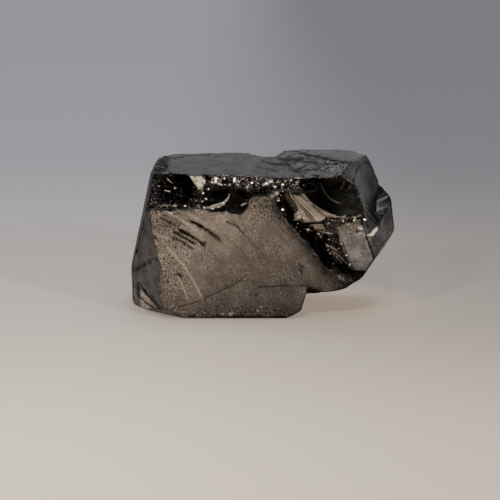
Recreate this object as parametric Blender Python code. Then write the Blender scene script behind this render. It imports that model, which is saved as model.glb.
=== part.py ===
"""Elite shungite: one broken lump of glassy, near-black stone that lies on its flat base.

The lump is a block cut down by flat breaks.  Steps come off its top, its left-hand side and its
front, and curved breaks hollow it out: the band under the top edge, the bowl and the crevice in it,
the shell at the right, and the shallow shells at the back.  A valley runs down across the front;
the fan above it and the cheek at its right stand out of its floor.  Metres, +Z up, +X to the right,
-Y to the front, with the origin under the middle of the block, on the surface the stone lies on.
"""

import math

import bmesh
import bpy
from mathutils import Matrix, Vector

MM = 0.001

# Driving dimensions: the block that just holds the stone
LENGTH = 45.0 * MM
DEPTH = 20.0 * MM
HEIGHT = 25.8 * MM

FRONT = -10.0           # the front break, in millimetres
CAP_TOP = 25.8          # the highest point, in millimetres
BAND_FOOT = 18.9        # height where the rough band under the top edge starts
BAND_NARROW = 2.9       # how much higher the band starts at the right
BAND_END = 9.8          # where the band stops at the right
BAND_END_SETBACK = 0.18  # how far the face beyond it lies behind the front
BAND_END_RISE = 5       # degrees by which that face leans back
BAND_SETBACK = 0.9      # how far the band's foot lies behind the front
BAND_RISE = 20          # degrees by which the band leans back
CUTTER_SIDE = 80.0      # a cutter starts as a cube of this side, larger than the stone
SPHERE_SEGMENTS = 40
SPHERE_RINGS = 20

# A flat break is (turn, tilt, a point on it in millimetres).  Turn is the way it faces, in degrees:
# 0 to the front, 90 to the right, 180 to the back.  Tilt is how far it faces up.
BREAKS = {
    "front_foot": (0, -53, (0, -10, 0.7)),
    "left_back": (-86, 12.5, (-19.3, -8, 19)),
    "left_foot": (-82, -2, (-21.85, -4.5, 3)),
    "left_shoulder": (-90, 30, (-18.7, -4, 24.0)),
    "left_bevel": (-56.8, -15, (-21.9, -2.9, 4.4)),
    "foot_corner": (-39, -54, (-16.7, -10, 2.1)),
    "back_left_corner": (-126, 9, (-18.6, 6.5, 20)),
    "back_left": (-174, 2, (-9, 9.9, 20)),
    "back_right": (168, -3, (12, 9.4, 20)),
    "back_lower": (178, -24, (2, 9.6, 8.5)),
    "back_right_corner": (117, 15, (18.1, 5.5, 22)),
    "lobe_shoulder": (96, 27, (21.6, 1, 18.9)),
    "lobe_front": (48, 9, (17.3, -9.5, 13.7)),
    "lobe_outer": (90, 7, (22.35, 0, 14.2)),
    "lobe_under": (76, -32, (22.4, 0, 12.6)),
    "right_under": (79, -59, (13.6, -10, 5.1)),
}

# The two flats of the top, and the step, the slope and the flat of the cap that rises out of them
TOP_FLATS = {
    "left": (0, 88, (-16, 9.5, 25.1)),
    "middle": (29, 85, (2, 9.5, 25.1)),
}
CAP_BREAKS = {
    "step": (-82, 41, (2.2, 7, 25.1)),
    "slope": (-54, 76, (15, -3.2, CAP_TOP)),
    "flat": (-60, 88.3, (18, 4, CAP_TOP)),
}

BAND_BACK = (0, BAND_RISE, (0, FRONT + BAND_SETBACK, BAND_FOOT))
LOBE_TOP = (-50, 52.5, (18.7, -3.0, 17.4))
NOTCH_WALL = (90, -14, (6.95, -10, 3.0))
NOTCH_ROOF = (130, -81, (9, -10, 4.15))
SHELL_ROOF = (0, -48, (12, -9.4, 23.9))

# A step is the space that two or more breaks open into the stone
STEPS = {
    "band_left": [BAND_BACK, (0, 90, (0, 0, BAND_FOOT)), (-90, 52, (-4.2, FRONT, BAND_FOOT))],
    "band_right": [
        BAND_BACK,
        (0, 90, (0, 0, BAND_FOOT + BAND_NARROW)),
        (-90, 0, (BAND_END, FRONT, BAND_FOOT)),
    ],
    "band_end": [
        (0, BAND_END_RISE, (0, FRONT + BAND_END_SETBACK, BAND_FOOT)),
        (0, 90, (0, 0, BAND_FOOT + BAND_NARROW)),
    ],
    "right_end": [(67, 25, (17.6, -3.4, 20.7)), LOBE_TOP],
    "right_bevel": [(62, 38.5, (14.45, -4.4, 25.5)), LOBE_TOP],
    "left_chip": [(-52.9, -7.9, (-18.64, -10, 18.28)), (-55.1, -3.0, (-17.3, -10, 10.6))],
    "notch": [NOTCH_WALL, NOTCH_ROOF],
    "foot_end": [(68, -58, (5.3, -10, 0.95)), NOTCH_ROOF],
    "ledge": [NOTCH_WALL, (-10, -35, (7.1, -9.95, 5.5))],
    "valley": [
        (45.6, 29.8, (1.35, FRONT, 21.0)),
        (13.2, 10.3, (2.6, FRONT + 2.1, 22.0)),
        (10.4, -12.7, (2.6, FRONT + 0.63, 22.0)),
        (-12.4, 14.9, (16.35, FRONT, 4.84)),
    ],
}

# A wedge is stone that a step leaves standing: what lies behind all of its breaks
WEDGES = {
    "bump": [
        (4, -7, (-11.2, -8.5, 23.5)),
        (-70, -38, (-12.9, -8.5, 24.8)),
        (80, -4, (-10.0, -8.4, 24.0)),
    ],
    "fan": [
        (-18, -19, (7.4, -10.3, 19.9)),
        (-90, -28.4, (3.83, -10, 21.85)),
        (0, -79, (9, -10, 16.5)),
        (15, 0, (11, -10.7, 17.5)),
    ],
    "cheek": [
        (-74, -31.5, (13.05, -10.3, 11.7)),
        (19, -2, (14.5, -10.3, 12)),
        (0, 84, (14, -10, 17.3)),
        (-90, -79, (15.8, -10, 8.3)),
    ],
}
LEFT_STANDING = {"band_left": ["bump"], "valley": ["fan", "cheek"]}

# A shell is the hollow of a curved break: (middle, radii, lean about Y in degrees), millimetres
SHELLS = {
    "band_hollow": ((-14.3, -9.9, 22.3), (3.1, 3.3, 3.2), 0),
    "band_bowl": ((-7.0, -10.6, 20.8), (3.4, 3.0, 2.4), -14),
    "bowl_side": ((-4.7, -10.4, 20.3), (2.2, 2.2, 2.3), -30),
    "band_crevice": ((-1.9, -9.6, 21.6), (3.8, 1.5, 0.42), 0),
    "right_shell": ((13.4, -16.2, 24.4), (11.5, 9.6, 8.6), 25),
    "back_dip": ((0.6, 12.6, 26.6), (3.6, 5.4, 4.6), 0),
    "back_chip": ((-0.4, 10.6, 26.0), (0.9, 1.6, 1.6), 0),
    "back_right_shell": ((16.5, 18.6, 13.5), (11.5, 12.0, 8.0), 0),
    "back_left_shell": ((-15.5, 19.5, 8.5), (12.0, 13.0, 9.0), 15),
}


def remove_scene_objects():
    for item in list(bpy.data.objects):
        bpy.data.objects.remove(item, do_unlink=True)


def new_collection(name):
    collection = bpy.data.collections.new(name)
    bpy.context.scene.collection.children.link(collection)
    return collection


def facing(turn, tilt):
    """The unit vector that a break with this turn and tilt faces."""
    across = math.cos(math.radians(tilt))
    angle = math.radians(turn)
    return Vector((math.sin(angle) * across, -math.cos(angle) * across, math.sin(math.radians(tilt))))


def point(millimetres):
    return Vector(millimetres) * MM


def trim(bm, broken, keep_behind=True):
    """Cut everything in front of a break away, or behind it, and close the cut with a flat face."""
    turn, tilt, at = broken
    bmesh.ops.bisect_plane(
        bm,
        geom=bm.verts[:] + bm.edges[:] + bm.faces[:],
        dist=1e-7,
        plane_co=point(at),
        plane_no=facing(turn, tilt),
        clear_outer=keep_behind,
        clear_inner=not keep_behind,
    )
    rim = [edge for edge in bm.edges if edge.is_boundary]
    if rim:
        bmesh.ops.edgeloop_fill(bm, edges=rim)


def finish_object(name, bm, collection):
    bmesh.ops.recalc_face_normals(bm, faces=bm.faces[:])
    mesh = bpy.data.meshes.new(name)
    bm.to_mesh(mesh)
    bm.free()
    item = bpy.data.objects.new(name, mesh)
    collection.objects.link(item)
    return item


def make_block(collection):
    """The stone before its steps and shells: a box trimmed by the flat breaks."""
    bm = bmesh.new()
    box = Matrix.Translation((0, 0, HEIGHT / 2)) @ Matrix.Diagonal((LENGTH, DEPTH, HEIGHT, 1))
    bmesh.ops.create_cube(bm, size=1.0, matrix=box)
    for broken in BREAKS.values():
        trim(bm, broken)
    return finish_object("shungite", bm, collection)


def make_cutter(name, walls, keep_behind, collection):
    """A large block trimmed by breaks: what lies behind all of them, or in front of all of them."""
    bm = bmesh.new()
    bmesh.ops.create_cube(bm, size=CUTTER_SIDE * MM)
    for wall in walls:
        trim(bm, wall, keep_behind)
    return finish_object(name, bm, collection)


def make_step(name, walls, collection):
    """A cutter for a step, less the wedges that the step leaves standing."""
    step = make_cutter(name, walls, False, collection)
    for wedge in LEFT_STANDING.get(name, []):
        cut(step, make_cutter(wedge, WEDGES[wedge], True, collection))
    return step


def make_shell(name, middle, radii, lean, collection):
    """A ball stretched to the radii, leant about Y and moved to its middle.

    The shell at the right is cut off by a flat roof, so it stays below the top.
    """
    bm = bmesh.new()
    place = Matrix.Translation(point(middle)) @ Matrix.Rotation(math.radians(lean), 4, "Y")
    stretch = Matrix.Diagonal((*point(radii), 1))
    bmesh.ops.create_uvsphere(
        bm, u_segments=SPHERE_SEGMENTS, v_segments=SPHERE_RINGS, radius=1.0, matrix=place @ stretch
    )
    if name == "right_shell":
        trim(bm, SHELL_ROOF, keep_behind=False)
    return finish_object(name, bm, collection)


def cut(solid, cutter):
    """Take the cutter's space out of a solid."""
    cutter.hide_render = True
    cutter.display_type = "WIRE"
    modifier = solid.modifiers.new(cutter.name, "BOOLEAN")
    modifier.operation = "DIFFERENCE"
    modifier.solver = "EXACT"
    modifier.object = cutter


def stone_material():
    """Dark brown-grey stone with a dull metallic shine."""
    material = bpy.data.materials.new("shungite")
    material.use_nodes = True
    shader = material.node_tree.nodes["Principled BSDF"]
    shader.inputs["Base Color"].default_value = (0.12, 0.105, 0.095, 1.0)
    shader.inputs["Roughness"].default_value = 0.35
    shader.inputs["Metallic"].default_value = 0.6
    return material


def main():
    remove_scene_objects()
    parts = new_collection("elite_shungite")
    cutters = new_collection("cutters")
    stone = make_block(parts)
    stone.data.materials.append(stone_material())
    for flat_name, flat in TOP_FLATS.items():
        for cap_name, cap in CAP_BREAKS.items():
            cut(stone, make_step(f"top_{flat_name}_{cap_name}", [flat, cap], cutters))
    for name, walls in STEPS.items():
        cut(stone, make_step(name, walls, cutters))
    for name, (middle, radii, lean) in SHELLS.items():
        cut(stone, make_shell(name, middle, radii, lean, cutters))


main()
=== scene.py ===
"""Elite shungite: the finish of one broken lump of glassy, near-black stone.

The stone's surface is worked out on a box-shaped grid: each grid point starts outside the stone and
moves in along a line towards the middle until it meets the stone.  The stone itself is a depth
field, in millimetres, made of flat breaks, steps and curved shells; small breaks, ribs, cracks and
pits are then raised or sunk along the surface's own direction.
"""

import math
from itertools import product
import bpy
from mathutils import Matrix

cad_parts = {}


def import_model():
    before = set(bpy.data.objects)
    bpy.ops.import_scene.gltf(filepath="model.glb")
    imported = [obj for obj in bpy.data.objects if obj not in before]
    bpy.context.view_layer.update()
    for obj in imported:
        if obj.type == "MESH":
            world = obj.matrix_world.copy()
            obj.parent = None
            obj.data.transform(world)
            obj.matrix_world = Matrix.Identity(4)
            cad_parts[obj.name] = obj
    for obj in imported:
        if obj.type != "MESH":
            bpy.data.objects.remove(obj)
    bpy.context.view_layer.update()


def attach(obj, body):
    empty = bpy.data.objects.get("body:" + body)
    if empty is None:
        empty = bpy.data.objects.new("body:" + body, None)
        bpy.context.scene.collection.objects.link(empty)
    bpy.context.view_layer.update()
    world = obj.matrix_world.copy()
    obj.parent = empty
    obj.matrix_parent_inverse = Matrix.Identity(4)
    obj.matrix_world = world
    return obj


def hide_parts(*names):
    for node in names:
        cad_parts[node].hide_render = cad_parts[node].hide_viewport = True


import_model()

from types import SimpleNamespace

import bpy
import numpy as np
from bpy.props import FloatProperty, FloatVectorProperty, IntProperty, PointerProperty
from bpy.types import Operator, Panel, PropertyGroup

bl_info = {
    "name": "Elite Shungite",
    "version": (1, 0, 0),
    "blender": (4, 5, 0),
    "location": "3D View > Sidebar > Shungite",
    "description": "Makes a broken lump of elite shungite and the pale table that it lies on",
    "category": "Object",
}

MM = 0.001

# Finishes of the surface, in the order of the finish attribute's channels
OLD, SLATE, FRESH, ROUGH = 0, 1, 2, 3

# ---------------------------------------------------------------- the stone's breaks, millimetres

FRONT = -10.0
BACK = 10.0
CAP_TOP = 25.8
BAND_FOOT = 18.9
BAND_SETBACK = 0.9
BAND_RISE = 0.36
BAND_END = (8.0, 10.8)
# The shares of its setback and its rise that it loses there
BAND_END_SETBACK = 0.8
BAND_END_RISE = 0.75

# How widely the crease between two breaks is rounded, from the crispest to the softest
CRISP, SHARP, KEEN, BLUNT, EDGE_ROUND, DULL, WORN, SOFTEST = 0.05, 0.1, 0.15, 0.2, 0.22, 0.3, 0.5, 0.6

# The front sinks by this much per square millimetre away from its middle
FRONT_BULGE = 0.0022
FRONT_MIDDLE = (-8.0, 12.0)

# A flat break is (turn, tilt, point on it, finish).  Turn is the way it faces, in degrees: 0 to the
# front, 90 to the right, 180 to the back.  Tilt is how far it faces up.
BREAKS = {
    "base": (0, -90, (0, 0, 0), SLATE),
    "front_foot": (0, -53, (0, -10, 0.7), OLD),
    "left_back": (-86, 12.5, (-19.3, -8, 19), SLATE),
    "left_foot": (-82, -2, (-21.85, -4.5, 3), SLATE),
    "left_shoulder": (-90, 30, (-18.7, -4, 24.0), SLATE),
    "foot_corner": (-39, -54, (-16.7, -10, 2.1), SLATE),
    "back_left_corner": (-126, 9, (-18.6, 6.5, 20), SLATE),
    "back_left": (-174, 2, (-9, 9.9, 20), OLD),
    "back_right": (168, -3, (12, 9.4, 20), OLD),
    "back_lower": (178, -24, (2, 9.6, 8.5), SLATE),
    "back_right_corner": (117, 15, (18.1, 5.5, 22), SLATE),
    "lobe_shoulder": (96, 27, (21.6, 1, 18.9), SLATE),
    "lobe_front": (48, 9, (17.3, -9.5, 13.7), SLATE),
    "lobe_outer": (90, 7, (22.35, 0, 14.2), SLATE),
    "lobe_under": (76, -32, (22.4, 0, 12.6), SLATE),
    "right_under": (79, -59, (13.6, -10, 5.1), SLATE),
}

RIGHT_BEVEL = (62, 38.5, (14.45, -4.4, 25.5))
RIGHT_END = (67, 25, (17.6, -3.4, 20.7))
LOBE_TOP = (-50, 52.5, (18.7, -3.0, 17.4))
LEFT_UPPER = (-52.9, -7.9, (-18.64, -10, 18.28))
LEFT_CHIP = (-55.1, -3.0, (-17.3, -10, 10.6))
LEFT_BEVEL = (-56.8, -15, (-21.9, -2.9, 4.4))
NOTCH_WALL = (90, -14, (6.95, -10, 3.0))
NOTCH_ROOF = (130, -81, (9, -10, 4.15))
RIGHT_FOOT = (68, -58, (5.3, -10, 0.95))
LEDGE = (-10, -35, (7.1, -9.35, 5.5))

# A wedge is what lies behind several breaks: (turn, tilt, point, finish, width of the crease where it
# meets the ones before it).
WEDGES = {
    "sheet": (
        (0, 88, (-16, 9.5, 25.1), SLATE, 0),
        (29, 85, (2, 9.5, 25.1), SLATE, WORN),
    ),
    "cap": (
        (-60, 88.3, (18, 4, CAP_TOP), SLATE, 0),
        (-54, 76, (15, -3.2, CAP_TOP), SLATE, BLUNT),
        (-82, 41, (2.2, 7, 25.1), SLATE, BLUNT),
    ),
    "fan": (
        (-18, -19, (7.4, -10.3, 19.9), FRESH, 0),
        (0, -79, (9, -10, 16.5), ROUGH, SHARP),
        (15, 0, (11, -10.7, 17.5), OLD, BLUNT),
        (-90, -28.4, (3.83, -10, 21.85), FRESH, CRISP),
    ),
    "bump": (
        (4, -7, (-11.2, -8.5, 23.5), OLD, 0),
        (-70, -38, (-12.9, -8.5, 24.8), ROUGH, SHARP),
        (80, -4, (-10.0, -8.4, 24.0), ROUGH, SHARP),
    ),
    "cheek": (
        (-74, -31.5, (13.05, -10.3, 11.7), ROUGH, 0),
        (19, -2, (14.5, -10.3, 12), SLATE, KEEN),
        (0, 84, (14, -10, 17.3), ROUGH, KEEN),
        (-90, -79, (15.8, -10, 8.3), OLD, KEEN),
    ),
}

# How much two of the breaks dish, the height above which the cheek keeps its old face, and the two
# heights of the band's foot's rise, each with the stretch of the front along which it rises
FAN_DISH = -0.035
END_DISH = -0.012
CHEEK_OLD_ABOVE = 14.8
BAND_STEPS = ((2.0, (-4.2, -1.6)), (0.9, (-1.8, 1.0)))

SHELL_ROOF = (0, -48, (12, -9.4, 23.9))
LUMP = ((5.95, -9.2, 17.75), (0.6, 0.9, 0.8), 25)

# How far the left-hand breaks wave, and how wide the rough seam above the lobe is
LEFT_WAVES = 0.20
LEFT_WAVES_FADE = (-5.0, -8.5)
LOBE_SEAM = 0.18

# The tan corner lies right of its edge and below a line that falls to the right
TAN_EDGE = -21.0
TAN_LEFT = -20.7
TAN_HEIGHT = 3.75
TAN_SLOPE = 0.80

# The hollow of a curved break: (middle, radii, lean about Y in degrees, finish)
SHELLS = {
    "band_hollow": ((-14.3, -9.9, 22.3), (3.1, 3.3, 3.2), 0, ROUGH),
    "band_bowl": ((-7.0, -10.6, 20.8), (3.4, 3.0, 2.4), -14, FRESH),
    "bowl_side": ((-4.7, -10.4, 20.3), (2.2, 2.2, 2.3), -30, FRESH),
    "band_crevice": ((-1.9, -9.6, 21.6), (3.8, 1.5, 0.42), 0, FRESH),
    "right_shell": ((13.4, -16.2, 24.4), (11.5, 9.6, 8.6), 25, FRESH),
    "back_dip": ((0.6, 12.6, 26.6), (3.6, 5.4, 4.6), 0, SLATE),
    "back_chip": ((-0.4, 10.6, 26.0), (0.9, 1.6, 1.6), 0, FRESH),
    "back_right_shell": ((16.5, 18.6, 13.5), (11.5, 12.0, 8.0), 0, FRESH),
    "back_left_shell": ((-15.5, 19.5, 8.5), (12.0, 13.0, 9.0), 15, FRESH),
}

# The valley starts here on the front and runs down to the right
VALLEY_START = (2.6, 22.0)
VALLEY_ANGLE = 51.3
VALLEY_WIDTH = 3.6
VALLEY_DEPTH = 0.9
VALLEY_DROP_WIDTH = 2.3
VALLEY_DROP = 1.2
VALLEY_FLOOR_SLOPE = 0.3
VALLEY_FLOOR_WIDTH = 6.0
# It deepens from this share at its head, and runs out towards its foot, in distances along it
VALLEY_HEAD_SHARE = 0.3
VALLEY_HEAD = (0.0, 5.0)
VALLEY_FOOT = (23.0, 14.0)
# Its rough part: from this far beside its line, and between these distances along it
VALLEY_ROUGH_SIDE = -2.0
VALLEY_ROUGH = (0.5, 15.9)

# The top is seen at a shallow angle, so its cracks are this much wider from front to back
TOP_SHORTEN = 0.35

# Points of the front's plane: its ribs are arcs about the first, the fan's streaks start at the
# second, the rings of the right-hand shell are arcs about the third, and the fan's two dark seams
# run up from the fourth
RIB_CENTRE = (-28.6, -6.7)
FAN_START = (3.2, 23.2)
SHELL_CENTRE = (13.7, 23.6)
SEAM_FOOT = (6.1, 17.6)

# ------------------------------------------------------------------------------- numbers and noise


def smooth_step(low, high, value):
    """Zero up to low, one from high on, and an S-shaped rise between them."""
    share = np.clip((value - low) / (high - low), 0.0, 1.0)
    return share * share * (3.0 - 2.0 * share)


def soft_max(a, b, soft):
    """The larger of two fields, with the crease between them rounded over the width soft."""
    share = np.clip(0.5 + 0.5 * (a - b) / soft, 0.0, 1.0)
    return b + (a - b) * share + soft * share * (1.0 - share)


# Odd numbers that mix the bits of a cell's place, and how far each round shifts them
MIX_PLACE = (374761393, 668265263, 2246822519)
MIX_SEED = 3266489917
MIX_ROUNDS = ((13, 1274126177), (15, 2654435761))
LAST_SHIFT = 16
WORD = 2**32


def cell_random(cells, seed):
    """One number from 0 to 1 for each whole-number cell, by mixing the bits of its place."""
    mixed = np.full(cells.shape[:-1], seed * MIX_SEED % WORD, dtype=np.uint32)
    for axis, factor in enumerate(MIX_PLACE):
        mixed = mixed + cells[..., axis].astype(np.uint32) * np.uint32(factor)
    for shift, factor in MIX_ROUNDS:
        mixed = (mixed ^ (mixed >> np.uint32(shift))) * np.uint32(factor)
    mixed = mixed ^ (mixed >> np.uint32(LAST_SHIFT))
    return mixed.astype(np.float64) / (WORD - 1)


def noise(p, size, seed):
    """Smooth noise from -1 to 1: random numbers at the corners of cubes of this size, blended.

    The seed picks one pattern out of many, so each use has its own.
    """
    q = p / size
    corner = np.floor(q).astype(np.int64)
    share = q - corner
    share = share * share * (3.0 - 2.0 * share)
    total = np.zeros(len(p))
    for step in product((0, 1), repeat=3):
        weight = np.prod(np.where(step, share, 1.0 - share), axis=1)
        total += weight * cell_random(corner + np.array(step), seed)
    return 2.0 * total - 1.0


def layered_noise(p, size, seed):
    """Noise with two finer layers on top, each half as large and half as strong as the last."""
    shares = (1.0, 0.5, 0.25)
    total = sum(share * noise(p, share * size, seed + layer) for layer, share in enumerate(shares))
    return total / sum(shares)


def chips(p, size, seed, tilt=0.9):
    """Scalloped chips: the lowest of many tilted bowls, one in each cube of this size.

    Each bowl is the squared distance from a random point of its cube plus a slope in a random
    direction; the lowest one at a place wins, so bowls meet in sharp ridges.  About 0 to 1.
    """
    q = p / size
    home = np.floor(q).astype(np.int64)
    lowest = np.full(len(p), 9.0)
    for step in product((-1, 0, 1), repeat=3):
        cell = home + np.array(step)
        spot, slope = (
            np.stack([cell_random(cell, first + axis) for axis in range(3)], 1)
            for first in (seed, seed + 3)
        )
        away = q - cell - spot
        bowl = np.sum(away * away, 1) + tilt * np.sum(away * (slope - 0.5), 1)
        lowest = np.minimum(lowest, bowl)
    return np.clip(lowest, -0.3, 1.0)


# --------------------------------------------------------------------------------- the depth field


def facing(turn, tilt):
    """The unit vector that a break with this turn and tilt faces."""
    angle, rise = math.radians(turn), math.radians(tilt)
    across = math.cos(rise)
    return np.array((math.sin(angle) * across, -math.cos(angle) * across, math.sin(rise)))


def before(p, broken, bow=0.0):
    """How far each point is in front of a flat break; a bow above 0 makes it bulge, below 0 dish."""
    turn, tilt, at = broken[:3]
    off = p - np.array(at, float)
    height = off @ facing(turn, tilt)
    if bow:
        height = height + bow * (np.sum(off * off, 1) - height * height)
    return height


def inside_ball(p, middle, radii, lean):
    """How deep each point is inside a ball stretched to the radii and leant about Y."""
    off = p - np.array(middle, float)
    angle = math.radians(lean)
    x = off[:, 0] * math.cos(angle) - off[:, 2] * math.sin(angle)
    z = off[:, 0] * math.sin(angle) + off[:, 2] * math.cos(angle)
    scaled = np.stack([x, off[:, 1], z], 1) / np.array(radii, float)
    reach = np.linalg.norm(scaled, axis=1)
    steep = np.linalg.norm(scaled / np.array(radii, float), axis=1)
    return reach * (1.0 - reach) / np.maximum(steep, 1e-9)


# The distance to the nearest edge, in millimetres, where there is none
NO_EDGE = 9.0


class Field:
    """Depth in front of the surface, the finish there, and how near the next edge is."""

    def __init__(self, depth, finish):
        self.depth = depth
        self.finish = np.broadcast_to(np.asarray(finish), depth.shape).astype(np.int64)
        self.edge = np.full(depth.shape, NO_EDGE)

    def carve(self, depth, finish, soft=EDGE_ROUND):
        """Take away what lies in front of one more break."""
        self.merge(Field(depth, finish), soft, 1.0)

    def carve_field(self, other, soft=EDGE_ROUND):
        """Take away what lies in front of another surface."""
        self.merge(other, soft, 1.0)

    def join(self, other, soft=SHARP):
        """Add another solid to this one."""
        self.merge(other, soft, -1.0)

    def merge(self, other, soft, sign):
        """Keep the larger of two depths if sign is 1, and the smaller if it is -1."""
        gap = np.abs(self.depth - other.depth)
        wins = sign * other.depth > sign * self.depth
        self.edge = np.where(wins, np.minimum(gap, other.edge), np.minimum(self.edge, gap))
        self.finish = np.where(wins, other.finish, self.finish)
        self.depth = sign * soft_max(sign * self.depth, sign * other.depth, soft)


def wedge(p, name, bow=0.0):
    """What lies behind all the breaks of a wedge; the first of them bulges or dishes by the bow."""
    first, *others = WEDGES[name]
    field = Field(before(p, first, bow), first[3])
    for *broken, finish, soft in others:
        field.carve(before(p, broken), finish, soft)
    return field


def valley_places(p):
    """Distance right of the valley's line, and distance down along it, on the front's plane."""
    angle = math.radians(VALLEY_ANGLE)
    x = p[:, 0] - VALLEY_START[0]
    z = p[:, 2] - VALLEY_START[1]
    return x * math.sin(angle) + z * math.cos(angle), x * math.cos(angle) - z * math.sin(angle)


def front_field(p):
    """The front: the old face with the valley's soft left side, the fan and the cheek."""
    right, down = valley_places(p)
    sunk = VALLEY_HEAD_SHARE + (1.0 - VALLEY_HEAD_SHARE) * smooth_step(*VALLEY_HEAD, down)
    sunk = sunk * smooth_step(*VALLEY_FOOT, down)
    slide = VALLEY_DEPTH * np.clip(1.0 + right / VALLEY_WIDTH, 0.0, 1.0) ** 2
    drop = VALLEY_DROP * np.clip(1.0 + right / VALLEY_DROP_WIDTH, 0.0, 1.0) ** 2
    floor = VALLEY_FLOOR_SLOPE * np.clip(right, 0.0, VALLEY_FLOOR_WIDTH)
    bulge = (p[:, 0] - FRONT_MIDDLE[0]) ** 2 + (p[:, 2] - FRONT_MIDDLE[1]) ** 2
    ragged = right + 0.35 * noise(p, 1.3, 21) > VALLEY_ROUGH_SIDE
    broken = ragged & (down > VALLEY_ROUGH[0]) & (down < VALLEY_ROUGH[1])
    depth = FRONT + FRONT_BULGE * bulge + sunk * (slide + drop + floor) - p[:, 1]
    field = Field(depth, np.where(broken, ROUGH, OLD))
    fan = wedge(p, "fan", FAN_DISH)
    cheek = wedge(p, "cheek")
    crust_and_highlight = p[:, 2] + 0.6 * noise(p, 0.9, 161) > CHEEK_OLD_ABOVE
    cheek.finish = np.where((cheek.finish == SLATE) & crust_and_highlight, OLD, cheek.finish)
    field.join(fan)
    field.join(Field(-inside_ball(p, *LUMP), FRESH))
    field.join(cheek)
    return field


def top_field(p):
    """The top: a sheet in two flats, and the raised cap at the right."""
    sheet = wedge(p, "sheet")
    sheet.edge = np.full(len(p), NO_EDGE)
    cap = wedge(p, "cap")
    sheet.join(cap, SHARP)
    return sheet


def band_foot(x):
    """Height of the band's foot along the front: low at the left, in steps up to a narrow band."""
    return BAND_FOOT + sum(rise * smooth_step(*along, x) for rise, along in BAND_STEPS)


def band_field(p):
    """The rough band under the top edge; it runs out at its right-hand end."""
    end = smooth_step(BAND_END[0], BAND_END[1], p[:, 0])
    setback = BAND_SETBACK * (1.0 - BAND_END_SETBACK * end)
    rise = BAND_RISE * (1.0 - BAND_END_RISE * end)
    band = Field(FRONT + setback + rise * (p[:, 2] - BAND_FOOT) - p[:, 1], ROUGH)
    band.join(Field(p[:, 2] - band_foot(p[:, 0]), FRESH), CRISP)
    band.join(wedge(p, "bump"))
    return band


def left_field(p):
    """The wavy breaks at the left-hand end of the front, and the tan corner below them."""
    waves = LEFT_WAVES * layered_noise(p, 1.9, 169) * smooth_step(*LEFT_WAVES_FADE, p[:, 1])
    chip = Field(before(p, LEFT_UPPER) + waves, SLATE)
    chip.join(Field(before(p, LEFT_CHIP) + waves, SLATE))
    slant = TAN_HEIGHT - TAN_SLOPE * (p[:, 0] - TAN_LEFT)
    tan = (p[:, 0] > TAN_EDGE) & (p[:, 2] + 0.12 * noise(p, 0.6, 23) < slant)
    chip.carve(before(p, LEFT_BEVEL), np.where(tan, OLD, SLATE), SHARP)
    return chip


def end_field(p):
    """The right-hand end, with the lobe that stands out below it."""
    end = Field(before(p, RIGHT_END, END_DISH), SLATE)
    end.carve(before(p, RIGHT_BEVEL), SLATE, SOFTEST)
    lobe = before(p, LOBE_TOP)
    seam = np.abs(lobe - end.depth) < LOBE_SEAM
    end.join(Field(lobe, np.where(seam, ROUGH, SLATE)))
    return end


def stone_field(p):
    """The whole stone at points p, in millimetres."""
    first, *others = BREAKS.values()
    field = Field(before(p, first), first[3])
    for broken in others:
        field.carve(before(p, broken), broken[3])
    field.carve_field(left_field(p))
    field.carve_field(front_field(p))
    field.carve_field(top_field(p), KEEN)
    field.carve_field(end_field(p))
    notch = Field(before(p, NOTCH_WALL), OLD)
    notch.carve(before(p, RIGHT_FOOT), OLD, WORN)
    notch.join(Field(before(p, NOTCH_ROOF), SLATE), WORN)
    field.carve_field(notch, DULL)
    ledge = Field(before(p, NOTCH_WALL), OLD)
    ledge.join(Field(before(p, LEDGE), FRESH))
    field.carve_field(ledge, SHARP)
    field.carve_field(band_field(p), SHARP)
    for name, (middle, radii, lean, finish) in SHELLS.items():
        hollow = inside_ball(p, middle, radii, lean)
        if name == "right_shell":
            hollow = np.minimum(hollow, before(p, SHELL_ROOF))
        field.carve(hollow, finish, SHARP)
    field.depth = np.maximum(field.depth, np.maximum(FRONT - p[:, 1], p[:, 1] - BACK))
    return field


# ------------------------------------------------------------------------------ the surface's grid

# The grid's outer box holds the stone, and its inner box lies inside it
OUTER_LOW, OUTER_HIGH = np.array((-22.9, -10.9, -0.3)), np.array((22.9, 10.4, 26.3))
INNER_LOW, INNER_HIGH = np.array((-14.0, -4.0, 9.5)), np.array((14.0, 4.0, 18.5))

# Where the grid is closer: (extra density, middle and width as shares of the box)
CLOSER_IN_FRONT = (1.4, 0.0, 0.22)
CLOSER_AT_BAND = (0.9, 0.84, 0.13)
SPACING_SAMPLES = 2001

# Each face's rectangle on the flat map: left, low, width and height
CHARTS = {
    "front": (0.010, 0.555, 0.750, 0.435),
    "left": (0.775, 0.720, 0.210, 0.270),
    "right": (0.775, 0.435, 0.210, 0.270),
    "back": (0.010, 0.265, 0.490, 0.280),
    "top": (0.010, 0.015, 0.490, 0.235),
    "under": (0.515, 0.015, 0.470, 0.235),
}

# A point moves in this often, each time by this share of its depth
MARCH_STEPS = 34
MARCH_SHARE = 0.8

# The surface's slope is read this far to each side, and an edge's gap grows at least this fast
SLOPE_STEP = 0.04
LEAST_GROWTH = 0.12


def spaced(count, extra=0.0, middle=0.0, width=1.0):
    """Shares from 0 to 1, count steps, closer by the extra density in a bell about the middle."""
    fine = np.linspace(0.0, 1.0, SPACING_SAMPLES)
    weight = 1.0 + extra * np.exp(-(((fine - middle) / width) ** 2))
    total = np.concatenate(([0.0], np.cumsum((weight[1:] + weight[:-1]) / 2)))
    return np.interp(np.linspace(0.0, total[-1], count + 1), total, fine)


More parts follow.
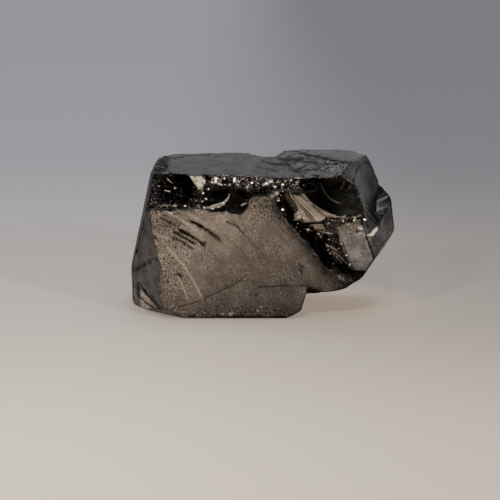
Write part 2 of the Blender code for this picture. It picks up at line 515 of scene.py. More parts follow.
def corners(grid, flipped):
    """The four corners of each cell of a grid, in the order that goes round the cell."""
    order = ((0, 0), (1, 0), (1, 1), (0, 1))
    if flipped:
        order = order[::-1]
    rows, columns = grid.shape[0] - 1, grid.shape[1] - 1
    parts = [grid[a : a + rows, b : b + columns] for a, b in order]
    return np.stack([part.reshape(rows * columns, *grid.shape[2:]) for part in parts], 1)


def box_grid(counts):
    """A closed grid over a box: its points' shares of each side, its quads and its charts.

    The points are those of a block of nx by ny by nz cells that lie on the block's outside, and
    each face of the block is a plain grid of two parameters.  Each quad's corners also get a place
    on a flat map, where each face of the block has its own rectangle.
    """
    nx, ny, nz = counts
    across = spaced(nx)
    deep = spaced(ny, *CLOSER_IN_FRONT)
    high = spaced(nz, *CLOSER_AT_BAND)
    number = -np.ones((nx + 1, ny + 1, nz + 1), dtype=np.int64)
    i, j, k = np.meshgrid(np.arange(nx + 1), np.arange(ny + 1), np.arange(nz + 1), indexing="ij")
    outside = (i == 0) | (i == nx) | (j == 0) | (j == ny) | (k == 0) | (k == nz)
    number[outside] = np.arange(outside.sum())
    shares = np.stack([across[i[outside]], deep[j[outside]], high[k[outside]]], 1)
    sheets = (
        (number[:, 0, :], False, across, high, CHARTS["front"]),
        (number[:, ny, :], True, across, high, CHARTS["back"]),
        (number[0, :, :], True, deep, high, CHARTS["left"]),
        (number[nx, :, :], False, deep, high, CHARTS["right"]),
        (number[:, :, 0], True, across, deep, CHARTS["under"]),
        (number[:, :, nz], False, across, deep, CHARTS["top"]),
    )
    quads, places = [], []
    for sheet, flipped, first, second, (left, low, wide, tall) in sheets:
        u, v = np.meshgrid(left + wide * first, low + tall * second, indexing="ij")
        quads.append(corners(sheet, flipped))
        places.append(corners(np.stack([u, v], -1), flipped))
    return shares, np.concatenate(quads), np.concatenate(places)


def meet_stone(start, end):
    """Where each line from outside to the middle first meets the stone.

    The depth field is never much more than the distance to the stone, so a point can move in by
    most of its depth without passing the surface; it does so until it is there.
    """
    way = end - start
    length = np.linalg.norm(way, axis=1)
    way = way / length[:, None]
    gone = np.zeros(len(start))
    for _ in range(MARCH_STEPS):
        depth = stone_field(start + way * gone[:, None]).depth
        gone = np.clip(gone + MARCH_SHARE * depth, 0.0, length)
    return start + way * gone[:, None]


def directions(p):
    """The way the surface faces, and how far each point is from the nearest edge between breaks.

    Both come from the field's slope along each axis: the depth's slope made unit length, and the
    gap between the two nearest breaks divided by how fast that gap grows.
    """
    slope, growth = np.zeros_like(p), np.zeros_like(p)
    for axis in range(3):
        step = np.zeros(3)
        step[axis] = SLOPE_STEP
        ahead, behind = stone_field(p + step), stone_field(p - step)
        slope[:, axis] = ahead.depth - behind.depth
        growth[:, axis] = (ahead.edge - behind.edge) / (2.0 * SLOPE_STEP)
    faces = slope / np.maximum(np.linalg.norm(slope, axis=1, keepdims=True), 1e-9)
    return faces, stone_field(p).edge / np.maximum(np.linalg.norm(growth, axis=1), LEAST_GROWTH)


# --------------------------------------------------------------------------- ribs, cracks and chips

# Grooves of the front, arcs about the rib centre: (radius at the upper and at the lower end, upper and
# lower angle, depth, half-width, how dark)
GROOVES = (
    (26.55, 27.1, 57.5, 45.0, 0.26, 0.38, 1.0),
    (25.75, 26.4, 58.5, 48.0, 0.24, 0.32, 1.0),
    (24.85, 25.5, 58.5, 47.5, 0.14, 0.20, 0.9),
    (28.8, 29.7, 56.0, 43.0, 0.14, 0.36, 1.0),
    (23.55, 23.1, 66.0, 57.5, 0.16, 0.22, 1.0),
    (26.9, 26.8, 65.5, 58.0, 0.08, 0.15, 0.8),
    (25.0, 24.9, 66.5, 62.0, 0.06, 0.14, 0.6),
    (33.15, 33.4, 45.5, 40.0, 0.12, 0.18, 0.8),
    (33.4, 33.9, 40.5, 29.0, 0.04, 0.12, 0.35),
    (27.1, 27.2, 45.0, 37.0, 0.05, 0.12, 0.4),
    (27.9, 28.1, 62.0, 56.0, 0.08, 0.16, 0.6),
    (31.0, 31.3, 43.0, 33.0, 0.04, 0.12, 0.3),
)
# Fine raised lines, in the same way: (radii, angles, height, half-width, how light)
THREADS = (
    (22.85, 21.1, 56.5, 29.0, 0.06, 0.14, 0.85),
    (20.2, 19.0, 45.0, 32.0, 0.06, 0.13, 0.7),
    (26.15, 26.75, 56.0, 47.0, 0.10, 0.09, 0.8),
    (28.0, 28.3, 64.0, 52.0, 0.06, 0.26, 0.55),
    (24.0, 24.3, 64.5, 57.0, 0.05, 0.24, 0.45),
    (29.6, 30.2, 58.0, 50.0, 0.04, 0.20, 0.35),
    (23.3, 23.0, 62.0, 52.0, 0.04, 0.16, 0.5),
)
# Hair cracks of the front, as points (across, height) joined by straight lines, and how deep each is
CRACKS = (
    (((-15.6, 1.8), (-10.4, 3.3), (-8.4, 4.4), (-6.2, 5.4), (-4.3, 6.4), (-2.8, 7.6)), 0.09),
    (((-0.9, 5.7), (2.9, 5.75), (6.8, 5.8), (9.7, 5.1)), 0.10),
    (((-6.1, 16.9), (-4.9, 16.2)), 0.16),
    (((1.9, 11.0), (2.0, 5.9)), -0.03),
    (((5.9, 9.5), (6.3, 9.1), (6.0, 8.6), (6.6, 8.2), (6.2, 7.7)), 0.10),
    (((-6.1, 17.9), (-4.9, 16.8), (-3.7, 15.3), (-1.8, 13.2), (-0.4, 10.0)), 0.035),
)
# Small deep pits of the front: (across, height, radius)
PITS = (
    (-13.9, 7.6, 0.48),
    (-6.1, 5.9, 0.22),
    (6.3, 8.3, 0.30),
    (6.6, 9.0, 0.24),
    (-9.6, 13.2, 0.28),
    (-13.3, 14.4, 0.2),
    (-1.0, 4.4, 0.2),
    (12.2, 11.0, 0.2),
)
# Small flat faces turned to catch a light, which also get a painted highlight: (across, height,
# half-width, half-height, lean, light)
GLINTS = (
    (-7.8, 23.3, 0.26, 0.40, 10, "left"),
    (-8.5, 23.0, 0.16, 0.14, 0, "high"),
    (-7.1, 22.7, 0.36, 0.12, 20, "right"),
    (-4.7, 23.4, 0.22, 0.38, 15, "high"),
    (-4.3, 23.0, 0.14, 0.12, 0, "left"),
    (-1.9, 22.9, 0.13, 0.26, 0, "left"),
    (0.75, 22.9, 0.75, 0.20, -22, "left"),
    (2.5, 23.1, 0.16, 0.16, 0, "high"),
    (2.0, 22.3, 0.20, 0.13, 0, "right"),
    (-0.3, 24.1, 0.14, 0.12, 0, "right"),
    (-6.1, 24.2, 0.15, 0.12, 0, "right"),
    (-10.4, 24.0, 0.14, 0.13, 0, "high"),
    (-10.7, 22.0, 0.12, 0.16, 0, "left"),
    (-9.9, 21.3, 0.14, 0.12, 0, "right"),
    (-9.5, 20.4, 0.12, 0.14, 0, "high"),
    (-15.6, 23.2, 0.12, 0.30, 10, "left"),
    (-16.3, 22.8, 0.12, 0.22, 0, "high"),
    (-15.9, 21.4, 0.36, 0.11, 8, "left"),
    (-14.6, 21.9, 0.13, 0.13, 0, "high"),
    (-16.0, 19.35, 0.55, 0.08, 0, "low"),
    (-14.8, 19.3, 0.5, 0.08, 0, "low"),
    (-12.9, 19.25, 0.16, 0.10, 0, "high"),
    (-9.6, 19.1, 0.18, 0.15, 0, "high"),
    (-8.6, 19.05, 0.6, 0.12, 0, "low"),
    (-7.7, 19.15, 0.6, 0.20, -6, "low"),
    (-6.9, 19.4, 0.5, 0.20, -18, "low"),
    (-6.3, 19.8, 0.40, 0.13, -45, "low"),
    (-5.75, 20.5, 0.09, 0.55, 20, "low"),
    (-3.0, 19.75, 0.70, 0.09, -42, "low"),
    (5.9, 17.8, 0.50, 0.62, 0, "low"),
    (3.2, 18.7, 0.14, 0.16, 0, "high"),
    (8.3, 15.6, 0.18, 0.16, 0, "high"),
    (9.0, 15.2, 0.42, 0.32, 0, "left"),
    (9.8, 14.5, 0.24, 0.34, 20, "left"),
    (10.8, 14.7, 0.30, 0.24, 0, "right"),
    (9.9, 13.7, 0.30, 0.22, 0, "left"),
    (9.2, 14.2, 0.14, 0.12, 0, "right"),
    (10.5, 13.3, 0.14, 0.13, 0, "high"),
    (11.3, 12.9, 0.32, 0.28, 0, "left"),
    (10.9, 12.2, 0.22, 0.24, 0, "left"),
    (11.6, 12.3, 0.13, 0.13, 0, "right"),
    (11.8, 11.6, 0.20, 0.17, 0, "left"),
    (12.1, 10.8, 0.42, 0.17, 20, "left"),
    (12.6, 10.1, 0.22, 0.17, 0, "left"),
    (11.4, 10.8, 0.17, 0.16, 0, "low"),
    (11.0, 11.3, 0.17, 0.16, 0, "left"),
    (13.1, 9.3, 0.13, 0.12, 0, "right"),
    (-5.6, 22.6, 0.14, 0.13, 0, "left"),
    (-6.4, 23.6, 0.12, 0.12, 0, "right"),
    (-3.3, 23.5, 0.16, 0.13, 0, "left"),
    (-2.6, 22.3, 0.13, 0.12, 0, "right"),
    (-0.9, 23.4, 0.13, 0.16, 0, "left"),
    (3.3, 22.7, 0.14, 0.12, 0, "left"),
    (4.6, 23.2, 0.13, 0.14, 0, "right"),
    (5.7, 23.0, 0.16, 0.12, 0, "left"),
    (-11.6, 23.6, 0.12, 0.14, 0, "left"),
    (-9.0, 21.9, 0.13, 0.12, 0, "left"),
    (-10.0, 20.0, 0.13, 0.12, 0, "left"),
    (13.3, 17.6, 0.30, 0.14, 0, "low"),
    (15.2, 17.2, 0.26, 0.12, -15, "high"),
    (16.9, 17.0, 0.14, 0.12, 0, "high"),
    (-6.7, 0.95, 0.24, 0.18, 0, "low"),
    (-5.35, 0.95, 0.32, 0.24, 0, "low"),
    (-0.85, 1.5, 0.22, 0.12, 0, "low"),
    (-0.25, 2.2, 0.14, 0.14, 0, "low"),
)
# Cracks of the top, as points (across, depth) joined by straight lines, how deep and how dark
TOP_CRACKS = (
    (((5.8, 8.2), (8.1, 4.4), (11.0, 1.0), (13.4, -2.2), (15.6, -3.4)), 0.14, 0.9),
    (((0.1, 3.2), (1.3, 2.2), (2.3, 1.4), (4.7, 0.6)), 0.10, 0.8),
    (((-0.8, -0.6), (0.2, -2.4), (2.6, -3.2)), 0.08, 0.7),
    (((2.2, 8.0), (2.6, 5.6), (4.2, 4.2), (7.0, 3.0)), 0.12, 0.8),
    (((6.0, 2.6), (8.2, 0.6), (9.8, -1.6), (12.4, -2.6)), 0.10, 0.8),
    (((4.4, -1.8), (7.0, -3.6), (9.4, -4.0)), 0.08, 0.6),
    (((-17.2, 4.6), (-15.2, 4.4), (-13.9, 5.6)), 0.12, 0.8),
    (((-16.8, 6.0), (-15.9, 0.4), (-16.3, -3.4), (-15.5, -7.4)), 0.14, 1.2),
    (((-11.6, 7.6), (-9.4, 6.8)), 0.05, 0.5),
)
# Small pits of the top: (across, depth, radius)
TOP_PITS = (
    (-4.6, 5.2, 0.35),
    (-4.0, 4.6, 0.25),
    (-10.2, 0.4, 0.25),
    (0.6, -5.4, 0.3),
    (-7.0, 3.0, 0.2),
    (-13.0, 2.0, 0.25),
)
# Cracks of the side breaks, as points (across, height), how deep, half-width and how dark
SIDE_CRACKS = (
    (
        ((-21.3, 7.1), (-20.6, 8.3), (-19.4, 9.35), (-18.4, 10.2), (-17.6, 10.4), (-17.1, 9.6)),
        0.08,
        0.20,
        0.8,
    ),
    (((-17.1, 9.6), (-16.8, 7.0), (-16.7, 4.6)), 0.04, 0.22, 0.5),
    (((-21.1, 4.9), (-19.6, 3.5), (-18.4, 2.5), (-17.3, 1.4)), 0.16, 0.45, 1.1),
    (((-21.3, 4.6), (-21.2, 2.4)), 0.12, 0.45, 1.1),
    (((-21.2, 2.3), (-20.0, 1.5), (-18.6, 1.1)), 0.12, 0.40, 1.0),
    (((-19.0, 3.4), (-17.6, 2.3), (-16.9, 1.4)), 0.08, 0.22, 0.7),
    (((16.4, 18.2), (17.1, 16.9), (17.6, 15.6)), 0.08, 0.22, 0.7),
)
# The pale hook by the right-hand end, a painted highlight on a small lip: its line on the front's plane,
# between which distances from it the highlight fades in, and where it starts across
HIGHLIGHT_HOOK_LINE = ((17.4, 14.35), (18.2, 14.35), (18.9, 15.1))
HIGHLIGHT_HOOK_FADE = (0.40, 0.18)
HIGHLIGHT_HOOK_STARTS = (17.0, 17.4)
# Where the lights stand, as turn and height angle seen from the stone
LIGHTS = {"left": (-38, 34), "right": (44, 20), "high": (-6, 46), "low": (10, -32)}
# How far the eye looks down at the stone, in degrees
VIEW_ANGLE = 13.0
# A glint reaches this far in half-widths, its rim lies between these, it stands at most this high,
# and one that catches the low light gets only this share of the painted highlight
GLINT_REACH = 1.6
GLINT_RIM = (1.3, 0.9)
GLINT_RISE = 0.35
LOW_GLINT = 0.55


# Relief of the front in millimetres: arcs about the rib centre, wide waves and short waves, and
# between which distances from the rib centre the arcs come in
RIB_RELIEF = 0.045
WIDE_RELIEF = 0.07
SHORT_RELIEF = 0.03
RIB_REACH = (46.0, 24.0)
CRACK_HALF_WIDTH = 0.17
TOP_CRACK_HALF_WIDTH = 0.42
# From front to back: where the front's relief ends, and where the back's plain shade begins
FRONT_ENDS = (-6.0, -8.0)
BACK_BEGINS = (2.0, 5.0)
# The relief fades out above the table between these heights
FOOT_FADE = (0.1, 0.6)
# A groove or a crack is dark where its shape is between these
LINE_FADE = (0.1, 0.7)

# Rings of the curved breaks: (point that the break started from, spacing, height)
RING_STARTS = (
    ((16.5, -7.0, 25.5), 1.9, 0.012),
    ((-10.5, -9.5, 22.8), 1.1, 0.010),
    ((2.6, -9.5, 23.2), 1.2, 0.015),
    ((21.0, 8.0, 20.0), 1.9, 0.05),
    ((-21.0, 6.0, 14.0), 1.9, 0.05),
)


def patch(p, middle, radii, axes=(0, 2)):
    """Distance from a patch's middle, in radii of the patch, across two axes of the stone."""
    first, second = axes
    return np.hypot((p[:, first] - middle[0]) / radii[0], (p[:, second] - middle[1]) / radii[1])


def places_of(p, faces=None):
    """Each point's places by name: along the stone's axes, beside and along the valley, and facing."""
    right, down = valley_places(p)
    places = {"across": p[:, 0], "deep": p[:, 1], "up": p[:, 2], "right": right, "down": down}
    if faces is not None:
        places.update(faces_right=faces[:, 0], faces_back=faces[:, 1], faces_up=faces[:, 2])
    return places


def region(places, ramps):
    """The product of S-shaped ramps: each is (place, where it starts, where it is full)."""
    share = 1.0
    for name, start, full in ramps:
        share = share * smooth_step(start, full, places[name])
    return share


def within(places, ranges):
    """Where every named place is inside its range."""
    inside = True
    for name, (low, high) in ranges.items():
        inside = inside & (places[name] > low) & (places[name] < high)
    return inside


def arc_shape(radius, angle, ends, width):
    """How near each place is to an arc whose radius drifts between its ends: 1 on it, 0 off it."""
    first, last, upper, lower = ends
    share = np.clip((upper - angle) / (upper - lower), 0.0, 1.0)
    fade = smooth_step(lower - 1.5, lower + 2.5, angle) * smooth_step(upper + 1.0, upper - 3.0, angle)
    across = np.abs(radius - first - (last - first) * share)
    return np.clip(1.25 - across / width, 0.0, 1.0) * fade


def distance_to_line(x, z, points):
    """The distance in the front's plane from each place to the nearest part of a bent line."""
    nearest = np.full(len(x), np.inf)
    for (x0, z0), (x1, z1) in zip(points, points[1:]):
        along = ((x - x0) * (x1 - x0) + (z - z0) * (z1 - z0)) / ((x1 - x0) ** 2 + (z1 - z0) ** 2)
        along = np.clip(along, 0.0, 1.0)
        off = np.hypot(x - x0 - along * (x1 - x0), z - z0 - along * (z1 - z0))
        nearest = np.minimum(nearest, off)
    return nearest


def front_details(p, old):
    """Ribs, grooves, cracks and pits of the old front: relief, how dark, and how light."""
    x, z = p[:, 0], p[:, 2]
    radius = np.hypot(x - RIB_CENTRE[0], z - RIB_CENTRE[1])
    angle = np.degrees(np.arctan2(z - RIB_CENTRE[1], x - RIB_CENTRE[0]))
    here = old * smooth_step(*FRONT_ENDS, p[:, 1])
    ring = np.stack([radius, angle * 0.10, np.zeros_like(radius)], 1)
    height = RIB_RELIEF * noise(ring, 0.9, 31) * smooth_step(*RIB_REACH, radius)
    height += WIDE_RELIEF * noise(p, 5.0, 35) + SHORT_RELIEF * noise(p, 1.3, 37)
    dark, light = np.zeros(len(p)), np.zeros(len(p))
    wave = 0.10 * noise(p, 1.1, 41) + 0.06 * noise(p, 0.5, 43)
    broken = 1.0 + 0.35 * noise(p, 0.45, 45)
    for *ends, deep, width, strong in GROOVES:
        shape = arc_shape(radius + wave, angle, ends, width)
        height -= deep * shape
        dark = np.maximum(dark, strong * broken * smooth_step(*LINE_FADE, shape))
    for *ends, tall, width, strong in THREADS:
        shape = arc_shape(radius + 0.5 * wave, angle, ends, width)
        height += tall * shape
        light = np.maximum(light, strong * shape)
    dark = dark * (1.0 - light)
    for points, deep in CRACKS:
        off = distance_to_line(x + wave, z + wave, points)
        shape = np.clip(1.0 - off / CRACK_HALF_WIDTH, 0.0, 1.0)
        height -= deep * shape
        dark = np.maximum(dark, np.clip(8.0 * deep, 0.0, 1.0) * smooth_step(0.1, 0.8, shape))
    for across, tall, size in PITS:
        reach = np.hypot(x - across + 2.0 * wave, z - tall + wave) / size
        shape = np.clip(1.3 - reach, 0.0, 1.0)
        height -= 0.5 * size * shape
        dark = np.maximum(dark, shape)
    return height * here, dark * here, light * here


def shell_rings(p):
    """Faint rings in the curved breaks, each about the point that the break started from."""
    reach = np.stack([np.linalg.norm(p - np.array(at), axis=1) for at, _, _ in RING_STARTS], 1)
    nearest = reach.argmin(1)
    height = np.zeros(len(p))
    for number, (_, spacing, tall) in enumerate(RING_STARTS):
        wobble = reach[:, number] + 0.35 * noise(p, 3.0, 61 + number)
        ring = np.sin(2.0 * math.pi * wobble / spacing)
        height += np.where(nearest == number, tall * ring, 0.0)
    return height


# The fan's sides as angles about its start, its foot as a distance from there, and where painted light is
# added to it: its left-hand side and its foot
FAN_SIDES = (("angle", -68.5, -67.0), ("angle", -26.0, -29.0), ("reach", 12.0, 11.0))
FAN_SHADE = 0.39
FAN_BRIGHTER = ((0.28, (("angle", -46.0, -58.0),)), (0.18, (("reach", 7.0, 9.5),)))
# Painted shade in the fan's throat, and a painted highlight on the lump
FAN_THROAT = ((5.55, 21.85), (0.95, 0.6))
THROAT_FADE = (1.2, 0.85)
THROAT_SHARE = 0.93
LUMP_PATCH = ((5.95, 17.75), (0.9, 0.9))
LUMP_SHADE = 1.3


def fan_places(p):
    """Where the fan is, and the painted light and shade on each place of it.

    The fan is a wedge about the point that its streaks start from; its top is a throat in painted shade,
    and a lump with a painted highlight lies under its left-hand side.
    """
    x, z = p[:, 0] - FAN_START[0], p[:, 2] - FAN_START[1]
    places = {"angle": np.degrees(np.arctan2(z, x)), "reach": np.hypot(x, z)}
    inside = region(places, FAN_SIDES)
    shade = FAN_SHADE + sum(more * region(places, ramps) for more, ramps in FAN_BRIGHTER)
    shade = shade * (1.0 - THROAT_SHARE * smooth_step(*THROAT_FADE, patch(p, *FAN_THROAT)))
    lump = patch(p, *LUMP_PATCH) < 1.0
    return np.maximum(inside, lump), np.where(lump, LUMP_SHADE, shade)


def half_way(name):
    """The way a small face must be turned to send a light's reflection to the eye."""
    light = facing(*LIGHTS[name])
    half = light + facing(0.0, VIEW_ANGLE)
    return half / np.linalg.norm(half)


def add_glints(p, faces, points):
    """Tilt the surface at each glint into a small flat face, and say where the glints are, for their
    painted highlight.
    """
    lit = np.zeros(len(p))
    front = faces[:, 1] < -0.2
    for across, tall, wide, high, lean, name in GLINTS:
        x, z = p[:, 0] - across, p[:, 2] - tall
        angle = math.radians(lean)
        u = (x * math.cos(angle) - z * math.sin(angle)) / wide
        v = (x * math.sin(angle) + z * math.cos(angle)) / high
        reach = np.maximum(np.abs(u), np.abs(v))
        near = front & (reach < GLINT_REACH)
        if not near.any():
            continue
        way = half_way(name)
        weight = smooth_step(*GLINT_RIM, reach[near])
        middle = np.average(points[near], axis=0, weights=weight + 1e-6)
        rise = ((middle - points[near]) @ way) / np.maximum(faces[near] @ way, 0.4)
        rise = np.clip(rise, -GLINT_RISE, GLINT_RISE) * weight
        points[near] += faces[near] * rise[:, None]
        lit[near] = np.maximum(lit[near], weight * (LOW_GLINT if name == "low" else 1.0))
    return points, lit * smooth_step(-0.9, -0.4, noise(p, 0.4, 151))


# No limit on a place or on the way a face is turned
ANY = 99.0

# The painted light and shade of the old front, as a logarithm: at the middle, its change for each
# millimetre to the right and up, and how much more painted light the bright patch at the upper left has
SHADE_GRADIENT_MIDDLE = (-5.4, 12.0)
SHADE_GRADIENT_LEVEL = -0.45
SHADE_GRADIENT_TO_RIGHT = -0.010
SHADE_GRADIENT_UPWARDS = 0.030
PAINTED_LIGHT_PATCH = ((-8.0, 17.0), (6.0, 6.0))
PAINTED_LIGHT_PATCH_MORE = 0.34

# Changes of the painted light and shade: (share, how uneven it is, size and seed of the unevenness,
# ramps); painted shade down the valley's side, foot and floor and under the band, painted light at the
# lower left
PAINTED_LIGHT_AND_SHADE_CHANGES = (
    (-0.88, 0.0, 1.0, 0, (("right", -4.1, -1.9), ("down", 18.0, 14.5), ("down", -0.5, 3.0))),
    (-0.60, -0.22, 0.6, 143, (("right", -4.2, -1.6), ("down", 13.0, 16.0))),
    (-0.68, -0.22, 0.5, 165, (("right", -2.4, -1.5), ("down", 14.5, 15.6))),
    (-0.30, 0.0, 1.0, 0, (("up", 17.0, 20.0), ("across", -5.5, -2.0))),
    (0.40, 0.0, 1.0, 0, (("across", -8.0, -13.0), ("up", 17.0, 13.0))),
)
# A darker patch by the foot and one at the upper left corner of the old front, and where that corner is
# pitted
DARK_FOOT = ((3.9, 1.5), (1.4, 0.9))
DARK_CORNER = ((-15.6, 16.4), (1.5, 2.6))
PITTED_CORNER = ((-15.4, 16.2), (1.7, 2.8))

# The cheek's old face lies right of a slanting line, its slope and place across at height 15
CHEEK_SLANT = 0.55
CHEEK_LEFT = 12.6
CHEEK_PLACE = {"up": (8.5, ANY), "right": (1.5, ANY)}
CHEEK_SHADE = 0.80
# Where the bump is, which gets a strong painted highlight, and where the tan corner is
BUMP_PLACE = {"across": (-ANY, -9.0), "up": (20.0, ANY), "deep": (-ANY, -7.0)}
TAN_PLACE = {"across": (-ANY, -17.2), "up": (-ANY, 4.9)}
TAN_SHADE = 1.7

# Painted shade in the band's hollows: (middle, radii, where the shade starts and is full, its share)
HOLLOWS_PAINTED_SHADE = (
    ((-14.3, 21.8), (3.2, 3.0), (1.15, 0.75), 0.78),
    ((-6.0, 20.0), (3.8, 2.4), (1.1, 0.95), 0.75),
)
# Painted glitter brightens this stretch of the band, and painted shade darkens the crevice along this one
BAND_PAINTED_GLITTER = (("across", -9.6, -8.0), ("across", 7.0, 4.0), ("up", 21.2, 22.2))
CREVICE_PAINTED_SHADE = (("across", -5.0, -4.0), ("across", 1.4, 0.4))
CREVICE_HEIGHT = 21.4
CREVICE_HALF_WIDTH = 0.5
VALLEY_PLACE = {"right": (-2.5, ANY), "up": (-ANY, 20.0)}
VALLEY_PAINTED_LIGHT = (("down", 7.0, 9.0), ("right", -1.0, 0.0))
# The right-hand shell, and the patch of its deepest painted shade
SHELL_PLACE = {"across": (6.0, ANY), "up": (17.2, ANY), "right": (3.0, ANY)}
SHELL_DARKEST = ((12.3, 21.9), (1.5, 1.4))
SHOULDER_RUBBLE = {"across": (-ANY, -15.0), "up": (23.5, ANY)}
# Painted light and shade of the valley's floor and the right-hand shell: the least, and how much more
# where light is painted
VALLEY_PAINTED_SHADE = (0.24, 1.4)
SHELL_PAINTED_SHADE = (0.10, 0.34)
# Light is painted on the right-hand shell from this place across, which leans; its height and its lean
SHELL_PAINTED_LIGHT = (10.4, 13.0)
SHELL_LEAN = (21.0, 0.25)
SHELL_DARKER = 0.12
SHOULDER_SHADE = 0.5
# Painted shade on what faces down by this much, and its share
UNDER_FADE = (0.0, -0.3)
UNDER_SHARE = 0.75

# Grey breaks painted lighter or darker than the rest, by how they face: the share, and where each one is
GREY_PARTS = {
    "cap_flat": (1.35, {"across": (4.0, ANY), "up": (25.3, ANY), "faces_up": (0.985, ANY)}),
    "cap_slope": (1.95, {"across": (0.0, ANY), "faces_up": (0.8, ANY), "faces_right": (-ANY, -0.1)}),
    "cap_step": (0.45, {"across": (-2.0, 7.0), "faces_up": (0.4, ANY), "faces_right": (-ANY, -0.3)}),
    "right_foot": (0.35, {"across": (2.5, ANY), "up": (-ANY, 4.5), "faces_back": (-ANY, -0.3)}),
    "lobe_top": (0.50, {"across": (17.0, ANY), "up": (-ANY, 21.5), "faces_up": (0.6, ANY)}),
}
LEFT_END = {"across": (-ANY, -15.0), "faces_right": (-ANY, -0.5), "faces_up": (-ANY, 0.3)}
RIGHT_END_FACE = {"faces_up": (0.25, 0.75), "faces_right": (0.4, ANY)}
LOBE_FACE = {"faces_up": (-ANY, 0.3)}
# The painted sheen down the right-hand end: where it is across at a height, how far it leans, its
# half-width and how much it adds; and where painted shade darkens the end to the right, and by what share
END_PAINTED_SHEEN = (16.4, 21.0, 0.26, 0.9, 0.5)
END_DARKER = ((17.2, 18.8), 0.32)
# The lobe starts at this place across, and has painted light below these heights
LOBE_STARTS = (16.0, 18.0)
LOBE_BRIGHT = (16.5, 13.5)
LOBE_SHADE = (0.45, -0.12)
# The left-hand end: painted shade above these heights, and the most where it faces away to the back
LEFT_DARKER = ((9.0, 11.0), 0.16)
LEFT_AWAY = 0.3
CHEEK_FACE = {"across": (11.0, 18.2), "up": (-ANY, 15.2), "faces_back": (-ANY, -0.86)}
SHOULDER_FACE = {"faces_up": (0.3, ANY), "up": (20.0, ANY)}

# Where the old faces are pitted: (share, ramps)
PITTED = (
    (1.0, (("across", -6.0, 2.0), ("up", 14.0, 20.0))),
    (1.0, (("up", 3.5, 0.5),)),
    (0.6, (("right", -5.0, -2.0), ("down", 10.0, 14.0))),
)
# It also grows to the left of the front, between these places across
PITTED_LEFT = (-10.0, -16.5)
# How busy the grey top is: the least, where it grows across, where it falls again towards the
# right along a slant, and how little remains past the slant's last place
TOP_BUSY = 0.35
BUSY_GROWS = (-3.0, 4.0)
BUSY_FALLS = (17.5, 14.0)
BUSY_MOST = 0.85
CALM_PAST = 15.5
CALM_SHARE = 0.3
TOP_PLACE = {"up": (23.4, ANY)}
SHOULDER_PLACE = {"across": (-ANY, -15.8), "up": (21.5, ANY)}
# The crumbled heap on the top: its middle and radii, across and deep
HEAP = ((11.6, -3.2), (2.9, 3.6))
CRUMBS = ((11.6, -3.4), (2.8, 3.4))
# The cap's edge slants across the top by this much
CAP_SLANT = 0.75


def front_shade(p):
    """Painted light and shade on the old faces: brightest at the upper left, darker to the right, down and
    in the valley.
    """
    x, y, z = p.T
    places = places_of(p)
    strength = SHADE_GRADIENT_LEVEL + SHADE_GRADIENT_TO_RIGHT * (x - SHADE_GRADIENT_MIDDLE[0])
    strength += SHADE_GRADIENT_UPWARDS * (z - SHADE_GRADIENT_MIDDLE[1])
    strength += PAINTED_LIGHT_PATCH_MORE * np.exp(-(patch(p, *PAINTED_LIGHT_PATCH) ** 2))
    shade = np.exp(strength + 0.05 * noise(p, 4.0, 131))
    for share, uneven, size, seed, ramps in PAINTED_LIGHT_AND_SHADE_CHANGES:
        shade = shade * (1.0 + region(places, ramps) * (share + uneven * noise(p, size, seed)))
    foot = patch(p, *DARK_FOOT) + 0.3 * noise(p, 0.9, 155)
    shade = shade * (1.0 - 0.25 * smooth_step(1.3, 0.6, foot))
    shade = shade * (1.0 - 0.32 * np.exp(-(patch(p, *DARK_CORNER) ** 2)))
    # Set strengths: the cheek's old face, the bump's painted highlight and the tan corner
    cheek = (x + CHEEK_SLANT * (z - 15.0) > CHEEK_LEFT) & within(places, CHEEK_PLACE)
    shade = np.where(cheek, CHEEK_SHADE, shade)
    shade = np.where(within(places, BUMP_PLACE), 3.5 + 0.8 * noise(p, 0.6, 137), shade)
    shade = np.where(within(places, TAN_PLACE), TAN_SHADE, shade)
    behind = smooth_step(*BACK_BEGINS, y)
    return shade * (1.0 - behind) + (0.60 + 0.06 * noise(p, 3.0, 167)) * behind


def glass_shade(p, faces):
    """Painted light and shade on rough and fresh breaks: shade in hollows, valley and shell, glitter in
    band and valley.
    """
    x, _, z = p.T
    places = places_of(p)
    shade = 0.75 + 0.5 * noise(p, 1.1, 133)
    for middle, radii, fade, share in HOLLOWS_PAINTED_SHADE:
        shade = shade * (1.0 - share * smooth_step(*fade, patch(p, middle, radii)))
    shade = shade * (1.0 + 1.2 * region(places, BAND_PAINTED_GLITTER))
    near = np.exp(-(((z - CREVICE_HEIGHT) / CREVICE_HALF_WIDTH) ** 2))
    shade = shade * (1.0 - 0.8 * region(places, CREVICE_PAINTED_SHADE) * near)
    lit = VALLEY_PAINTED_SHADE[0] + VALLEY_PAINTED_SHADE[1] * region(places, VALLEY_PAINTED_LIGHT)
    shade = np.where(within(places, VALLEY_PLACE), lit * shade, shade)
    level, lean = SHELL_LEAN
    dim = SHELL_PAINTED_SHADE[0] + SHELL_PAINTED_SHADE[1] * smooth_step(*SHELL_PAINTED_LIGHT, x + lean * (z - level))
    dim = dim - SHELL_DARKER * smooth_step(1.1, 0.8, patch(p, *SHELL_DARKEST))
    shade = np.where(within(places, SHELL_PLACE), dim, shade)
    shade = np.where(within(places, SHOULDER_RUBBLE), SHOULDER_SHADE, shade)
    return shade * (1.0 - UNDER_SHARE * smooth_step(*UNDER_FADE, faces[:, 2]))


